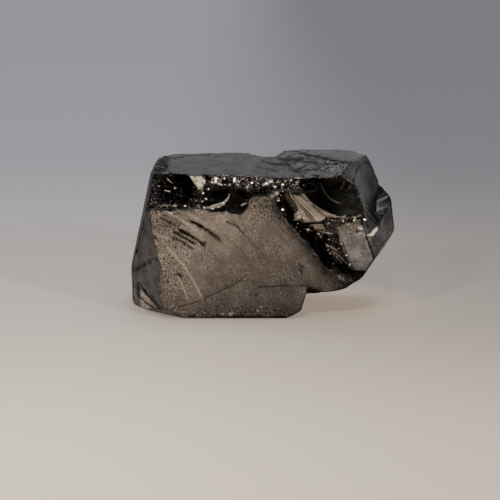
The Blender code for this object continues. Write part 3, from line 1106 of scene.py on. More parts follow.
def slate_shade(p, faces):
    """Painted light and shade on the grey breaks, one by one, by where they are and how they face."""
    x, _, z = p.T
    places = places_of(p, faces)
    shade = 1.0 + 0.10 * noise(p, 2.5, 135)
    for share, ranges in GREY_PARTS.values():
        shade = np.where(within(places, ranges), share * shade, shade)
    start, level, lean, width, more = END_PAINTED_SHEEN
    painted_sheen = np.exp(-(((x - start - lean * (level - z)) / width) ** 2))
    fade, share = END_DARKER
    end = 1.0 + more * painted_sheen - share * smooth_step(*fade, x)
    shade = np.where(within(places, RIGHT_END_FACE), end * shade, shade)
    lobe = smooth_step(*LOBE_STARTS, x) * within(places, LOBE_FACE)
    more, least = LOBE_SHADE
    shade = shade * (1.0 + lobe * (more * smooth_step(*LOBE_BRIGHT, z) + least))
    left = within(places, LEFT_END)
    fade, share = LEFT_DARKER
    shade = np.where(left, shade * (1.0 - share * smooth_step(*fade, z)), shade)
    shade = np.where(left & (faces[:, 1] > -0.3), LEFT_AWAY * shade, shade)
    # The cheek's face gets a strong painted light
    shade = np.where(within(places, CHEEK_FACE), 2.1 + 0.25 * noise(p, 1.2, 157), shade)
    # The shoulder's random facets: painted light where they face left, painted shade where they do not
    shoulder = (x + 0.7 * noise(p, 0.9, 167) < -16.3) & within(places, SHOULDER_FACE)
    facets = 0.60 + 0.8 * smooth_step(0.0, 0.4, noise(p, 1.2, 163))
    return np.where(shoulder, facets * np.where(faces[:, 0] < -0.3, 1.6, 0.8), shade)


def spots(p, lit, fan, old):
    """The painted highlight of the hook and the bump, the glints, how densely each place is pitted, and
    the fan.
    """
    x, y, z = p.T
    places = places_of(p)
    hook = distance_to_line(x, z, HIGHLIGHT_HOOK_LINE) + 0.25 * noise(p, 0.8, 111)
    crust_and_highlight = smooth_step(*HIGHLIGHT_HOOK_FADE, hook) * (y < -4.0) * smooth_step(*HIGHLIGHT_HOOK_STARTS, x)
    bump = within(places, BUMP_PLACE) & old
    # The bump gets a pale painted highlight too
    crust_and_highlight = np.maximum(crust_and_highlight, 0.8 * bump * smooth_step(-0.5, 0.4, noise(p, 0.45, 159)))
    corner = np.exp(-(patch(p, *PITTED_CORNER) ** 2))
    pitted = np.maximum(smooth_step(*PITTED_LEFT, x) + 1.1 * corner, 1.2 * bump)
    for share, ramps in PITTED:
        pitted = np.maximum(pitted, share * region(places, ramps))
    pitted = np.where(old, pitted, np.clip(pitted, 0.0, 0.4))
    slant = x + CAP_SLANT * y
    grown = smooth_step(*BUSY_GROWS, x) * smooth_step(*BUSY_FALLS, slant)
    busy = np.minimum(TOP_BUSY + (1.0 - TOP_BUSY) * grown, BUSY_MOST)
    busy = busy * np.where(slant > CALM_PAST, CALM_SHARE, 1.0)
    heap = patch(p, *HEAP, axes=(0, 1)) + 0.3 * noise(p, 1.0, 147)
    busy = np.maximum(busy, smooth_step(1.1, 0.8, heap))
    pitted = np.where(within(places, TOP_PLACE) & ~old, busy, pitted)
    pitted = np.where(within(places, SHOULDER_PLACE) & ~old, 1.0, pitted)
    return np.stack([crust_and_highlight, lit, pitted, fan], 1)


def side_details(p):
    """Cracks of the side breaks: relief and how dark."""
    height, dark = np.zeros(len(p)), np.zeros(len(p))
    wave = 0.15 * noise(p, 0.9, 145)
    for points, deep, width, strong in SIDE_CRACKS:
        off = distance_to_line(p[:, 0] + wave, p[:, 2] + wave, points)
        off = off + 0.3 * (width - 0.15) * noise(p, 0.5, 149)
        shape = np.clip(1.0 - off / width, 0.0, 1.0) * (p[:, 1] < 2.0)
        height -= deep * shape
        dark = np.maximum(dark, strong * smooth_step(0.1, 0.7, shape))
    return height, dark


# Flakes of the top: how many layers, how they are stretched, and a layer's thickness in millimetres
FLAKE_LAYERS = 2.6
FLAKE_STRETCH = (0.50, 0.55, 0.5)
FLAKE_HEIGHT = 0.07
CRUMB_HEIGHT = 0.22
# The flakes' edges are this part of a layer; the flakes come in and fade across these places
FLAKE_EDGE = (0.74, 1.0)
FLAKES_GROW = (-4.0, 3.0)
FLAKES_FALL = (16.0, 13.0)
# Left of these places the top is crumbled
CRUMBLED_LEFT = (-15.9, -16.4)


def top_details(p):
    """Thin flakes, cracks and a crumbled patch of the top: relief and how dark."""
    x, y = p[:, 0], p[:, 1]
    level = FLAKE_LAYERS * layered_noise(p * np.array(FLAKE_STRETCH), 3.2, 121)
    rise = smooth_step(*FLAKE_EDGE, level - np.floor(level))
    busy = 0.1 + 0.9 * smooth_step(*FLAKES_GROW, x) * smooth_step(*FLAKES_FALL, x + CAP_SLANT * y)
    height = FLAKE_HEIGHT * busy * (np.floor(level) + rise)
    dark = 1.2 * busy * smooth_step(0.0, 0.35, rise) * smooth_step(1.0, 0.65, rise)
    dark = dark * smooth_step(-0.6, 0.2, noise(p, 1.4, 123))
    wave = 0.25 * noise(p, 0.9, 125)
    for points, deep, strong in TOP_CRACKS:
        flat = [(across, TOP_SHORTEN * depth) for across, depth in points]
        off = distance_to_line(x + wave, TOP_SHORTEN * (y + 2.0 * wave), flat)
        shape = np.clip(1.0 - off / TOP_CRACK_HALF_WIDTH, 0.0, 1.0)
        height -= deep * shape
        dark = np.maximum(dark, 1.2 * strong * smooth_step(0.05, 0.45, shape))
    for across, depth, size in TOP_PITS:
        reach = np.hypot(x - across, TOP_SHORTEN * (y - depth)) / size
        dark = np.maximum(dark, smooth_step(1.0, 0.6, reach))
    crumbs = smooth_step(1.05, 0.8, patch(p, *CRUMBS, axes=(0, 1)) + 0.25 * noise(p, 0.8, 127))
    margin = x + 0.4 * noise(p, 1.0, 139) + 0.03 * y
    crumbs = np.maximum(crumbs, smooth_step(*CRUMBLED_LEFT, margin))
    height += crumbs * CRUMB_HEIGHT * (chips(p, 0.9, 129) - 0.4)
    mottle = 0.5 + 0.5 * layered_noise(p * np.array((0.6, 0.3, 1.0)), 1.9, 141)
    return height, dark, mottle


# How far from an edge the wear and the large chips reach
WORN_WIDTH = 0.26
CHIPPED_WIDTH = 0.55
LEFT_EDGE_WEAR = 0.45
# Edges that are less worn, and a face that stays almost smooth
LEFT_EDGE = {"across": (-ANY, -12.5), "up": (-ANY, 18.3), "deep": (-ANY, -8.0)}
LOBE_TOP_FACE = {
    "across": (17.5, ANY),
    "up": (-ANY, 21.5),
    "faces_up": (0.5, ANY),
    "faces_right": (-ANY, 0.1),
}
# The crumbled shelf above the cheek
SHELF = (("right", 1.5, 2.5), ("across", 8.0, 9.0))
SHELF_RISE = 0.45
# Relief of the rough breaks in millimetres: flakes and, on them, fine chips
ROUGH_RELIEF = 0.30
FINE_RELIEF = 0.12
# How squarely the flat top faces up
FACES_UP = (0.80, 0.95)


def edge_wear(p, away):
    """How worn each place near an edge is, and how deep it is worn in millimetres."""
    ragged = np.clip(0.70 + 0.9 * layered_noise(p, 1.2, 103), 0.0, 1.0)
    edge = np.exp(-((away / WORN_WIDTH) ** 2)) * ragged
    edge = np.where(within(places_of(p), LEFT_EDGE), LEFT_EDGE_WEAR * edge, edge)
    small = 0.06 + 0.35 * np.clip(chips(p, 1.1, 101) - 0.15, 0.0, 1.0)
    large = 0.55 * np.clip(chips(p, 2.6, 107) - 0.28, 0.0, 0.7)
    return edge, edge * small + np.exp(-((away / CHIPPED_WIDTH) ** 2)) * large


def stone_details(p, field, faces, away):
    """All the small relief in millimetres, and the marks: dark, edge, light and shade."""
    kinds = (OLD, SLATE, FRESH, ROUGH)
    old, slate, fresh, rough = ((field.finish == kind).astype(float) for kind in kinds)
    places = places_of(p, faces)
    height, dark, light = front_details(p, old)
    flake = chips(p, 0.95, 71, 0.7)
    fine = chips(p, 0.5, 81, 0.7)
    height += rough * (ROUGH_RELIEF * (flake - 0.3) + FINE_RELIEF * (fine - 0.3))
    fan, fan_light_and_shade = fan_places(p)
    fan = fan * fresh * (faces[:, 2] < 0.25) * (p[:, 1] < -7.5)
    height += fresh * np.where(fan > 0.5, 0.04 * (fan_light_and_shade - 1.0), shell_rings(p))
    top, crack, mottle = top_details(p)
    on_top = slate * smooth_step(*FACES_UP, faces[:, 2])
    height += on_top * top
    dark = np.maximum(dark, on_top * crack)
    shelf = old * region(places, SHELF) * smooth_step(14.9, 15.5, p[:, 2] + 0.25 * (p[:, 0] - 12.5))
    height += SHELF_RISE * shelf * (flake - 0.35)
    dark = np.maximum(dark, 0.9 * shelf * smooth_step(0.45, 0.75, flake))
    side, crack = side_details(p)
    height += side
    dark = np.maximum(dark, crack)
    height += slate * (0.05 * layered_noise(p, 3.0, 91) + 0.02 * chips(p, 1.6, 95))
    edge, wear = edge_wear(p, away)
    height -= wear
    height *= smooth_step(*FOOT_FADE, p[:, 2]) * np.where(within(places, LOBE_TOP_FACE), 0.1, 1.0)
    grey = slate_shade(p, faces) * np.where(on_top > 0.5, 0.70 + 0.98 * mottle, 1.0)
    shade = np.where(old > 0.5, front_shade(p), np.where(slate > 0.5, grey, glass_shade(p, faces)))
    shade = np.where(fan > 0.5, fan_light_and_shade, shade)
    return height, dark, edge, light, shade, fan


# ------------------------------------------------------------------------------- materials


class Nodes:
    """Short ways to add nodes to a material's or a world's tree."""

    def __init__(self, tree):
        self.tree = tree

    def add(self, kind, **values):
        node = self.tree.nodes.new(kind)
        for name, value in values.items():
            setattr(node, name, value)
        return node

    def link(self, source, target):
        self.tree.links.new(source, target)

    def put(self, socket, value):
        if isinstance(value, bpy.types.NodeSocket):
            self.link(value, socket)
        else:
            socket.default_value = value

    def maths(self, operation, a, b=0.5, clamp=False):
        node = self.add("ShaderNodeMath", operation=operation, use_clamp=clamp)
        self.put(node.inputs[0], a)
        self.put(node.inputs[1], b)
        return node.outputs[0]

    def times(self, first, *others):
        for value in others:
            first = self.maths("MULTIPLY", first, value)
        return first

    def rest(self, value):
        """What a share leaves of one."""
        return self.maths("SUBTRACT", 1.0, value)

    def vector(self, operation, *values, scale=None, output="Vector"):
        node = self.add("ShaderNodeVectorMath", operation=operation)
        for socket, value in zip(node.inputs, values):
            self.put(socket, value)
        if scale is not None:
            self.put(node.inputs["Scale"], scale)
        return node.outputs[output]

    def split(self, place):
        node = self.add("ShaderNodeSeparateXYZ")
        self.link(place, node.inputs[0])
        return node.outputs

    def mix(self, share, a, b):
        node = self.add("ShaderNodeMix", data_type="RGBA")
        self.put(node.inputs[0], share)
        self.put(node.inputs[6], a)
        self.put(node.inputs[7], b)
        return node.outputs[2]

    def paint(self, colour, layers):
        """Lay plain colours over a colour, one after another; each layer is (share, colour)."""
        for share, over in layers:
            colour = self.mix(share, colour, rgba(over))
        return colour

    def blend(self, share, a, b):
        node = self.add("ShaderNodeMix", data_type="FLOAT")
        self.put(node.inputs[0], share)
        self.put(node.inputs[2], a)
        self.put(node.inputs[3], b)
        return node.outputs[0]

    def span(self, value, low, high, to_low=0.0, to_high=1.0):
        node = self.add("ShaderNodeMapRange", interpolation_type="SMOOTHSTEP")
        for socket, number in zip(node.inputs, (value, low, high, to_low, to_high)):
            self.put(socket, number)
        return node.outputs[0]

    def noise(self, place, scale, detail=2.0, rough=0.5):
        node = self.add("ShaderNodeTexNoise")
        self.link(place, node.inputs["Vector"])
        node.inputs["Scale"].default_value = scale
        node.inputs["Detail"].default_value = detail
        node.inputs["Roughness"].default_value = rough
        return node.outputs["Fac"]

    def cells(self, place, scale, output="Distance"):
        node = self.add("ShaderNodeTexVoronoi")
        self.link(place, node.inputs["Vector"])
        node.inputs["Scale"].default_value = scale
        return node.outputs[output]

    def polar(self, place, centre):
        """Distance in millimetres and angle in degrees of each place about a point of the front."""
        millimetres = (1.0 / MM, 0.0, 1.0 / MM)
        off = self.vector("MULTIPLY_ADD", place, millimetres, (-centre[0], 0.0, -centre[1]))
        x, _, z = self.split(off)
        turn = self.maths("DEGREES", self.maths("ARCTAN2", z, x))
        return self.vector("LENGTH", off, output="Value"), turn

    def arcs(self, place, centre, across, along, depth):
        """Noise stretched along arcs about a point, or along rays if across is the smaller."""
        reach, turn = self.polar(place, centre)
        join = self.add("ShaderNodeCombineXYZ")
        parts = (self.times(reach, across), self.times(turn, along), depth)
        for socket, value in zip(join.inputs, parts):
            self.put(socket, value)
        return self.noise(join.outputs[0], 1.0, 4.0, 0.62)


def rgba(colour):
    return (*colour, 1.0)


# The names of the four numbers in each of the surface's attributes
MARKS = {
    "finish": ("old", "slate", "fresh", "rough"),
    "marks": ("groove", "edge", "light", "shade"),
    "spots": ("crust_and_highlight", "painted_glint", "pitted", "fan"),
}
# Noises: (how many to a metre, layers, roughness)
NOISES = {
    "cloud": (230.0, 4.0, 0.6),
    "grain": (4200.0, 3.0, 0.7),
    "strokes": (4600.0, 2.0, 0.6),
    "patchy": (480.0, 4.0, 0.65),
    "cracks": (260.0, 6.0, 0.68),
    "crumbs": (2300.0, 2.0, 0.6),
    "rubble": (900.0, 2.0, 0.5),
}
# Noises along arcs: (centre, how many to a millimetre outwards, how many to a degree, place)
ARCS = {
    "ribs": (RIB_CENTRE, 1.9, 0.11, 0.0),
    "grit": (RIB_CENTRE, 5.0, 0.9, 3.0),
    "halo": (SHELL_CENTRE, 2.3, 0.035, 9.0),
    "rays": (FAN_START, 0.07, 0.42, 5.0),
}
# Cells, how many to a metre
FINE_PITS, LARGE_PITS, FROST, CRACKLE, FACETS = 3000.0, 1900.0, 3100.0, 2300.0, 2600.0
# The noise that pushes the pits out of their round shape, and by how far in metres
STIR_SCALE = 3600.0
STIR_REACH = 0.0005
# How the strokes and the crumbs are stretched
STROKE_STRETCH = (1.0, 1.0, 0.45)
CRUMB_STRETCH = (1.0, 0.38, 1.0)
# The fan's dark seams: (angle, half-width), in degrees
SEAMS = ((115.6, 1.3), (109.4, 1.1))
# The pale ring of the right-hand shell: its edge in millimetres, and its two ends in degrees
RING_EDGE = (0.20, 0.06)
RING_ENDS = ((-95.0, -115.0), (-179.0, -160.0))
# The finest relief, in metres, and how much small facets of the rubble turn
GRAIN_RELIEF = 0.00003
PIT_RELIEF = 0.00006
FAN_RELIEF = 0.0003
CRACK_RELIEF = 0.00004
RUBBLE_RELIEF = 0.00010
FACET_TURN = 1.1


def new_material(name):
    """A material, its nodes, its shader's inputs, and the places on the piece that wears it."""
    material = bpy.data.materials.new(name)
    material.use_nodes = True
    nodes = Nodes(material.node_tree)
    shader = material.node_tree.nodes["Principled BSDF"]
    return material, nodes, shader.inputs, nodes.add("ShaderNodeTexCoord").outputs["Object"]


def surface_marks(nodes):
    """The numbers that the surface's attributes hold, by name."""
    marks = SimpleNamespace()
    for name, parts in MARKS.items():
        source = nodes.add("ShaderNodeAttribute", attribute_name=name)
        split = nodes.add("ShaderNodeSeparateColor")
        nodes.link(source.outputs["Color"], split.inputs[0])
        for part, value in zip(parts, (*split.outputs[:3], source.outputs["Alpha"])):
            setattr(marks, part, value)
    return marks


def stretched(nodes, place, scale, lean=0.0):
    """Places leant about Y and then stretched, so that a pattern there is stretched too."""
    mapping = nodes.add("ShaderNodeMapping")
    mapping.inputs["Rotation"].default_value = (0.0, lean, 0.0)
    mapping.inputs["Scale"].default_value = scale
    nodes.link(place, mapping.inputs["Vector"])
    return mapping.outputs["Vector"]


def stirred(nodes, place):
    """Places pushed about at random, so that cells there are ragged."""
    stir = nodes.add("ShaderNodeTexNoise")
    nodes.link(place, stir.inputs["Vector"])
    stir.inputs["Scale"].default_value = STIR_SCALE
    return nodes.vector("MULTIPLY_ADD", stir.outputs["Color"], (STIR_REACH,) * 3, place)


def patterns(nodes, place, finish, marks):
    """Everything that the finishes share: noises, arcs, cracks, and where pits and frost are."""
    look = SimpleNamespace()
    for name in ("cloud", "grain", "patchy"):
        setattr(look, name, nodes.noise(place, *NOISES[name]))
    for name, arc in ARCS.items():
        setattr(look, name, nodes.arcs(place, *arc))
    weave = stretched(nodes, place, STROKE_STRETCH, math.radians(finish.weave_lean))
    look.strokes = nodes.noise(weave, *NOISES["strokes"])
    look.ragged = stirred(nodes, place)
    crumbs = stretched(nodes, look.ragged, CRUMB_STRETCH)
    look.crumbs = nodes.noise(crumbs, *NOISES["crumbs"])
    cracks = nodes.maths("SUBTRACT", nodes.noise(place, *NOISES["cracks"]), 0.5)
    look.cracks = nodes.span(nodes.maths("ABSOLUTE", cracks), 0.020, 0.006)
    look.where = nodes.maths("ADD", look.patchy, nodes.times(marks.pitted, 0.24))
    fine = nodes.span(nodes.cells(look.ragged, FINE_PITS), 0.36, 0.16)
    fine = nodes.times(fine, nodes.span(look.where, 0.45, 0.62))
    large = nodes.span(nodes.cells(look.ragged, LARGE_PITS), 0.36, 0.18)
    large = nodes.times(large, nodes.span(look.where, 0.55, 0.68))
    plain = nodes.times(marks.old, nodes.rest(marks.fan))
    look.pits = nodes.times(nodes.maths("MAXIMUM", fine, large), 0.8, plain)
    frost = nodes.span(nodes.cells(place, FROST), 0.22, 0.10)
    frost = nodes.times(frost, nodes.span(look.where, 0.52, 0.70), plain)
    # The pale frost fades out where the old faces are in painted shade
    look.frost = nodes.times(frost, nodes.span(marks.shade, 0.15, 0.75))
    return look


def fan_colour(nodes, place, finish, look):
    """Pale and dark streaks that run down the fan, and two dark seams."""
    colour = nodes.mix(nodes.span(look.rays, 0.36, 0.60), rgba(finish.bloom_speck), rgba(finish.thread))
    _, turn = nodes.polar(place, SEAM_FOOT)
    for lean, width in SEAMS:
        off = nodes.maths("ABSOLUTE", nodes.maths("SUBTRACT", turn, lean))
        colour = nodes.mix(nodes.span(off, 1.6 * width, 0.7 * width), colour, rgba(finish.pit))
    return colour


def old_colour(nodes, place, finish, marks, look):
    """The bloom of the old faces: clouds, fine grain, arcs of ribs and grit; its warmth follows the
    painted shade.
    """
    # The warm tone grows with the clouds and with the painted light, so old faces in painted shade turn
    # greyer
    warm = nodes.times(nodes.span(look.cloud, 0.35, 0.68), nodes.span(marks.shade, 0.42, 0.90, 0.05, 1.0))
    colour = nodes.mix(warm, rgba(finish.bloom_dark), rgba(finish.bloom_light))
    dark = nodes.times(nodes.span(look.grit, 0.48, 0.38), nodes.span(marks.pitted, 0.0, 0.8, 0.35, 1.0))
    dark = nodes.times(dark, nodes.span(look.where, 0.46, 0.64, 0.15, 1.0))
    pale = nodes.times(nodes.span(look.grit, 0.56, 0.66), nodes.span(marks.pitted, 0.2, 0.9, 0.1, 0.9))
    layers = (
        (nodes.span(look.patchy, 0.42, 0.60, 0.50, 0.0), finish.bloom_speck),
        (nodes.span(look.grain, 0.58, 0.34, 0.0, 0.7), finish.bloom_speck),
        (nodes.span(look.strokes, 0.52, 0.34, 0.0, 0.6), finish.bloom_speck),
        (nodes.span(look.grain, 0.55, 0.75, 0.0, 0.5), finish.thread),
        (nodes.span(look.ribs, 0.58, 0.70, 0.0, 0.45), finish.thread),
        (nodes.span(look.ribs, 0.42, 0.30, 0.0, 0.55), finish.bloom_speck),
        (dark, finish.pit),
        (pale, finish.thread),
    )
    return nodes.mix(marks.fan, nodes.paint(colour, layers), fan_colour(nodes, place, finish, look))


def slate_colour(nodes, finish, marks, look):
    """Grey breaks: clouds, fine grain, thin cracks and, where they are most pitted, crumbs."""
    colour = nodes.mix(
        nodes.span(look.cloud, 0.35, 0.68), rgba(finish.slate_dark), rgba(finish.slate_light)
    )
    crumbled = nodes.span(marks.pitted, 0.86, 0.96)
    layers = (
        (nodes.span(look.grain, 0.50, 0.28, 0.0, 0.45), finish.pit),
        (nodes.span(look.patchy, 0.60, 0.40, 0.0, 0.35), finish.pit),
        (nodes.times(look.cracks, nodes.span(marks.pitted, 0.25, 0.95, 0.10, 0.9)), finish.pit),
        (nodes.times(nodes.span(look.crumbs, 0.53, 0.47), crumbled), finish.pit),
        (nodes.times(nodes.span(look.crumbs, 0.56, 0.64, 0.0, 0.30), crumbled), finish.thread),
    )
    return nodes.paint(colour, layers)


def glass_colour(nodes, place, finish, marks, look):
    """Black glass with faint rings, one pale ring in the right-hand shell, and dust."""
    reach, turn = nodes.polar(place, SHELL_CENTRE)
    off = nodes.maths("ABSOLUTE", nodes.maths("SUBTRACT", reach, finish.ring_radius))
    ring = nodes.times(nodes.span(off, *RING_EDGE), *(nodes.span(turn, *end) for end in RING_ENDS))
    veil = nodes.maths("MAXIMUM", nodes.span(look.halo, 0.50, 0.72, 0.0, 0.15), ring)
    dust = nodes.times(nodes.span(look.grain, 0.55, 0.68), nodes.span(marks.pitted, 0.2, 0.9, 0.1, 0.8))
    return nodes.mix(nodes.maths("MAXIMUM", veil, dust), rgba(finish.glass), rgba(finish.glass_veil))


def stone_colour(nodes, place, finish, marks, look):
    """Each finish's colour, scaled by the painted light and shade, with pits, edges and painted highlights
    over it.
    """
    colour = old_colour(nodes, place, finish, marks, look)
    colour = nodes.mix(marks.slate, colour, slate_colour(nodes, finish, marks, look))
    colour = nodes.mix(marks.fresh, colour, glass_colour(nodes, place, finish, marks, look))
    # Brown patches of the rubble stand in for its brownish reflections: a painted reflection
    warm = nodes.span(nodes.noise(place, *NOISES["rubble"]), 0.50, 0.66)
    rubble = nodes.mix(warm, rgba(finish.rubble), rgba(finish.rubble_brown_reflection))
    colour = nodes.mix(marks.rough, colour, rubble)
    # The painted light and shade scale each finish's colour
    dimmed = nodes.vector("SCALE", colour, scale=marks.shade)
    rim = nodes.times(nodes.span(marks.edge, 0.12, 0.75), nodes.rest(marks.rough))
    # Over it: pits, frost, dark rims, grooves, pale threads, the glints' painted highlight, and the
    # painted highlight of the hook and the bump
    layers = (
        (nodes.times(look.pits, 0.85), finish.pit),
        (look.frost, finish.thread),
        (nodes.times(rim, nodes.span(marks.fan, 0.0, 1.0, 0.92, 0.4)), finish.pit),
        (nodes.maths("MULTIPLY", marks.groove, 1.0, clamp=True), finish.pit),
        (nodes.times(marks.light, marks.old), finish.thread),
        (marks.painted_glint, finish.painted_glint),
        (marks.crust_and_highlight, finish.crust_and_highlight),
    )
    return nodes.paint(dimmed, layers)


def stone_roughness(nodes, finish, marks, look):
    shine = nodes.blend(marks.slate, finish.bloom_roughness, finish.slate_roughness)
    shine = nodes.blend(marks.fresh, shine, finish.glass_roughness)
    shine = nodes.blend(nodes.maths("MAXIMUM", marks.rough, marks.painted_glint), shine, finish.glint_roughness)
    uneven = nodes.times(nodes.maths("SUBTRACT", look.grain, 0.5), 0.14)
    return nodes.blend(marks.crust_and_highlight, nodes.maths("ADD", shine, uneven), 0.8)


def stone_relief(nodes, place, marks, look):
    """The finest relief as a turned normal: grain, pits, streaks, cracks and the rubble's facets."""
    dull = nodes.maths("ADD", marks.old, nodes.times(marks.slate, 0.35))
    loose = nodes.times(marks.rough, nodes.rest(marks.painted_glint))
    relief = nodes.times(nodes.maths("ADD", look.grain, look.strokes), dull, GRAIN_RELIEF)
    others = (
        nodes.times(look.pits, -PIT_RELIEF),
        nodes.times(look.rays, marks.fan, FAN_RELIEF),
        nodes.times(look.cracks, marks.slate, -CRACK_RELIEF),
        nodes.times(nodes.cells(place, CRACKLE), loose, RUBBLE_RELIEF),
    )
    for other in others:
        relief = nodes.maths("ADD", relief, other)
    bump = nodes.add("ShaderNodeBump")
    bump.inputs["Strength"].default_value = 1.0
    bump.inputs["Distance"].default_value = 1.0
    nodes.link(relief, bump.inputs["Height"])
    facet = nodes.vector("SUBTRACT", nodes.cells(place, FACETS, output="Color"), (0.5, 0.5, 0.5))
    turned = nodes.vector("SCALE", facet, scale=nodes.times(loose, FACET_TURN))
    return nodes.vector("NORMALIZE", nodes.vector("ADD", bump.outputs["Normal"], turned))


def stone_material(finish):
    """One shader for the whole stone, which reads where each finish is from the surface."""
    material, nodes, inputs, place = new_material("shungite")
    marks = surface_marks(nodes)
    look = patterns(nodes, place, finish, marks)
    clear = nodes.times(marks.fresh, nodes.rest(marks.painted_glint))
    values = {
        "Base Color": stone_colour(nodes, place, finish, marks, look),
        "Roughness": stone_roughness(nodes, finish, marks, look),
        "Metallic": nodes.rest(nodes.maths("MAXIMUM", marks.crust_and_highlight, clear)),
        # The painted light and shade also scale the reflection's strength and set its edge tint
        "Specular IOR Level": nodes.times(marks.shade, nodes.span(marks.edge, 0.0, 0.8, 0.5, 0.08)),
        "Specular Tint": nodes.maths("MULTIPLY", marks.shade, 1.0, clamp=True),
        "Normal": stone_relief(nodes, place, marks, look),
    }
    for name, value in values.items():
        nodes.put(inputs[name], value)
    return material


# The table's painted light changes from near to far, and from one side to the other, between these
# places in metres; its painted brightness is given at its left-hand and right-hand side, in front and
# behind
TABLE_FAR = (-0.10, 0.16)
TABLE_SIDES = (-0.04, 0.05)
TABLE_IN_FRONT = (1.18, 0.78)
TABLE_BEHIND = (0.93, 0.53)
TABLE_BEHIND_STARTS = (-0.08, 0.0)
# A painted pool of warm light on the table under the stone's overhang: where it fades out and is full, and
# its strength
OVERHANG_REACH = (0.018, 0.004)
OVERHANG_WARM_LIGHT = 0.30
TABLE_ROUGHNESS = 0.6
TABLE_SHEEN = 0.1
# The middle of the table's part under the stone's overhang, in metres
OVERHANG_MIDDLE = (0.013, 0.0, 0.0)


def table_material(stage):
    """A smooth pale board that glows a little, its colour painted with light: bright in front and at the
    left, dim behind, warm under the overhang.
    """
    material, nodes, inputs, place = new_material("pale_table")
    across, deep, _ = nodes.split(place)
    far = nodes.span(deep, *TABLE_FAR)
    colour = nodes.mix(far, rgba(stage.table_near), rgba(stage.table_far))
    front = nodes.span(across, *TABLE_SIDES, *TABLE_IN_FRONT)
    back = nodes.span(across, *TABLE_SIDES, *TABLE_BEHIND)
    bright = nodes.blend(nodes.span(deep, *TABLE_BEHIND_STARTS), front, back)
    away = nodes.vector("DISTANCE", place, OVERHANG_MIDDLE, output="Value")
    warm = nodes.span(away, *OVERHANG_REACH, 0.0, OVERHANG_WARM_LIGHT)
    colour = nodes.mix(warm, nodes.vector("SCALE", colour, scale=bright), rgba(stage.table_warm_light))
    # The board glows in the same colour, painted light and all
    values = {
        "Base Color": colour,
        "Roughness": TABLE_ROUGHNESS,
        "Specular IOR Level": TABLE_SHEEN,
        "Emission Color": colour,
        "Emission Strength": stage.table_glow,
    }
    for name, value in values.items():
        nodes.put(inputs[name], value)
    return material


# Where the room's parts start and are full, as parts of a direction of length 1
ROOM_SIDES = (0.55, 0.95)
ROOM_LOW = (0.30, 0.12)
WINDOW_ACROSS = (0.35, 0.75)
WINDOW_HEIGHT = (0.62, 0.40)
ROOM_BACK = (-0.1, 0.35)
CEILING = (0.86, 0.99)
CEILING_LEAN = 0.12


def room_world(stage):
    """A dim room: dark in front of the stone, grey at its sides and back, bright overhead."""
    world = bpy.data.worlds.new("studio")
    bpy.context.scene.world = world
    world.use_nodes = True
    nodes = Nodes(world.node_tree)
    background = world.node_tree.nodes["Background"]
    across, depth, height = nodes.split(nodes.add("ShaderNodeTexCoord").outputs["Generated"])
    side = nodes.span(nodes.maths("ABSOLUTE", across), *ROOM_SIDES)
    window = nodes.times(nodes.span(across, *WINDOW_ACROSS), nodes.span(height, *WINDOW_HEIGHT))
    leant = nodes.maths("ADD", height, nodes.times(depth, CEILING_LEAN))
    layers = (
        (side, stage.room_side),
        (nodes.span(height, *ROOM_LOW), stage.room_low),
        (window, stage.room_window),
        (nodes.span(depth, *ROOM_BACK), stage.room_back),
        (nodes.span(leant, *CEILING), stage.room_top),
    )
    glow = nodes.paint(rgba(stage.room_front), layers)
    seen = nodes.add("ShaderNodeLightPath").outputs["Is Camera Ray"]
    nodes.link(nodes.mix(seen, glow, rgba(stage.horizon)), background.inputs["Color"])
    return world


# ----------------------------------------------------------------------------- settings


class StoneSettings(PropertyGroup):
    """How finely the stone is made."""

    across: IntProperty(name="Cells across", description="Grid cells along the stone", default=214)
    deep: IntProperty(name="Cells deep", description="Grid cells from front to back", default=66)
    high: IntProperty(name="Cells high", description="Grid cells from base to top", default=124)


def colour_property(name, description, default):
    return FloatVectorProperty(
        name=name, description=description, default=default, subtype="COLOR", size=3, min=0.0, max=4.0
    )


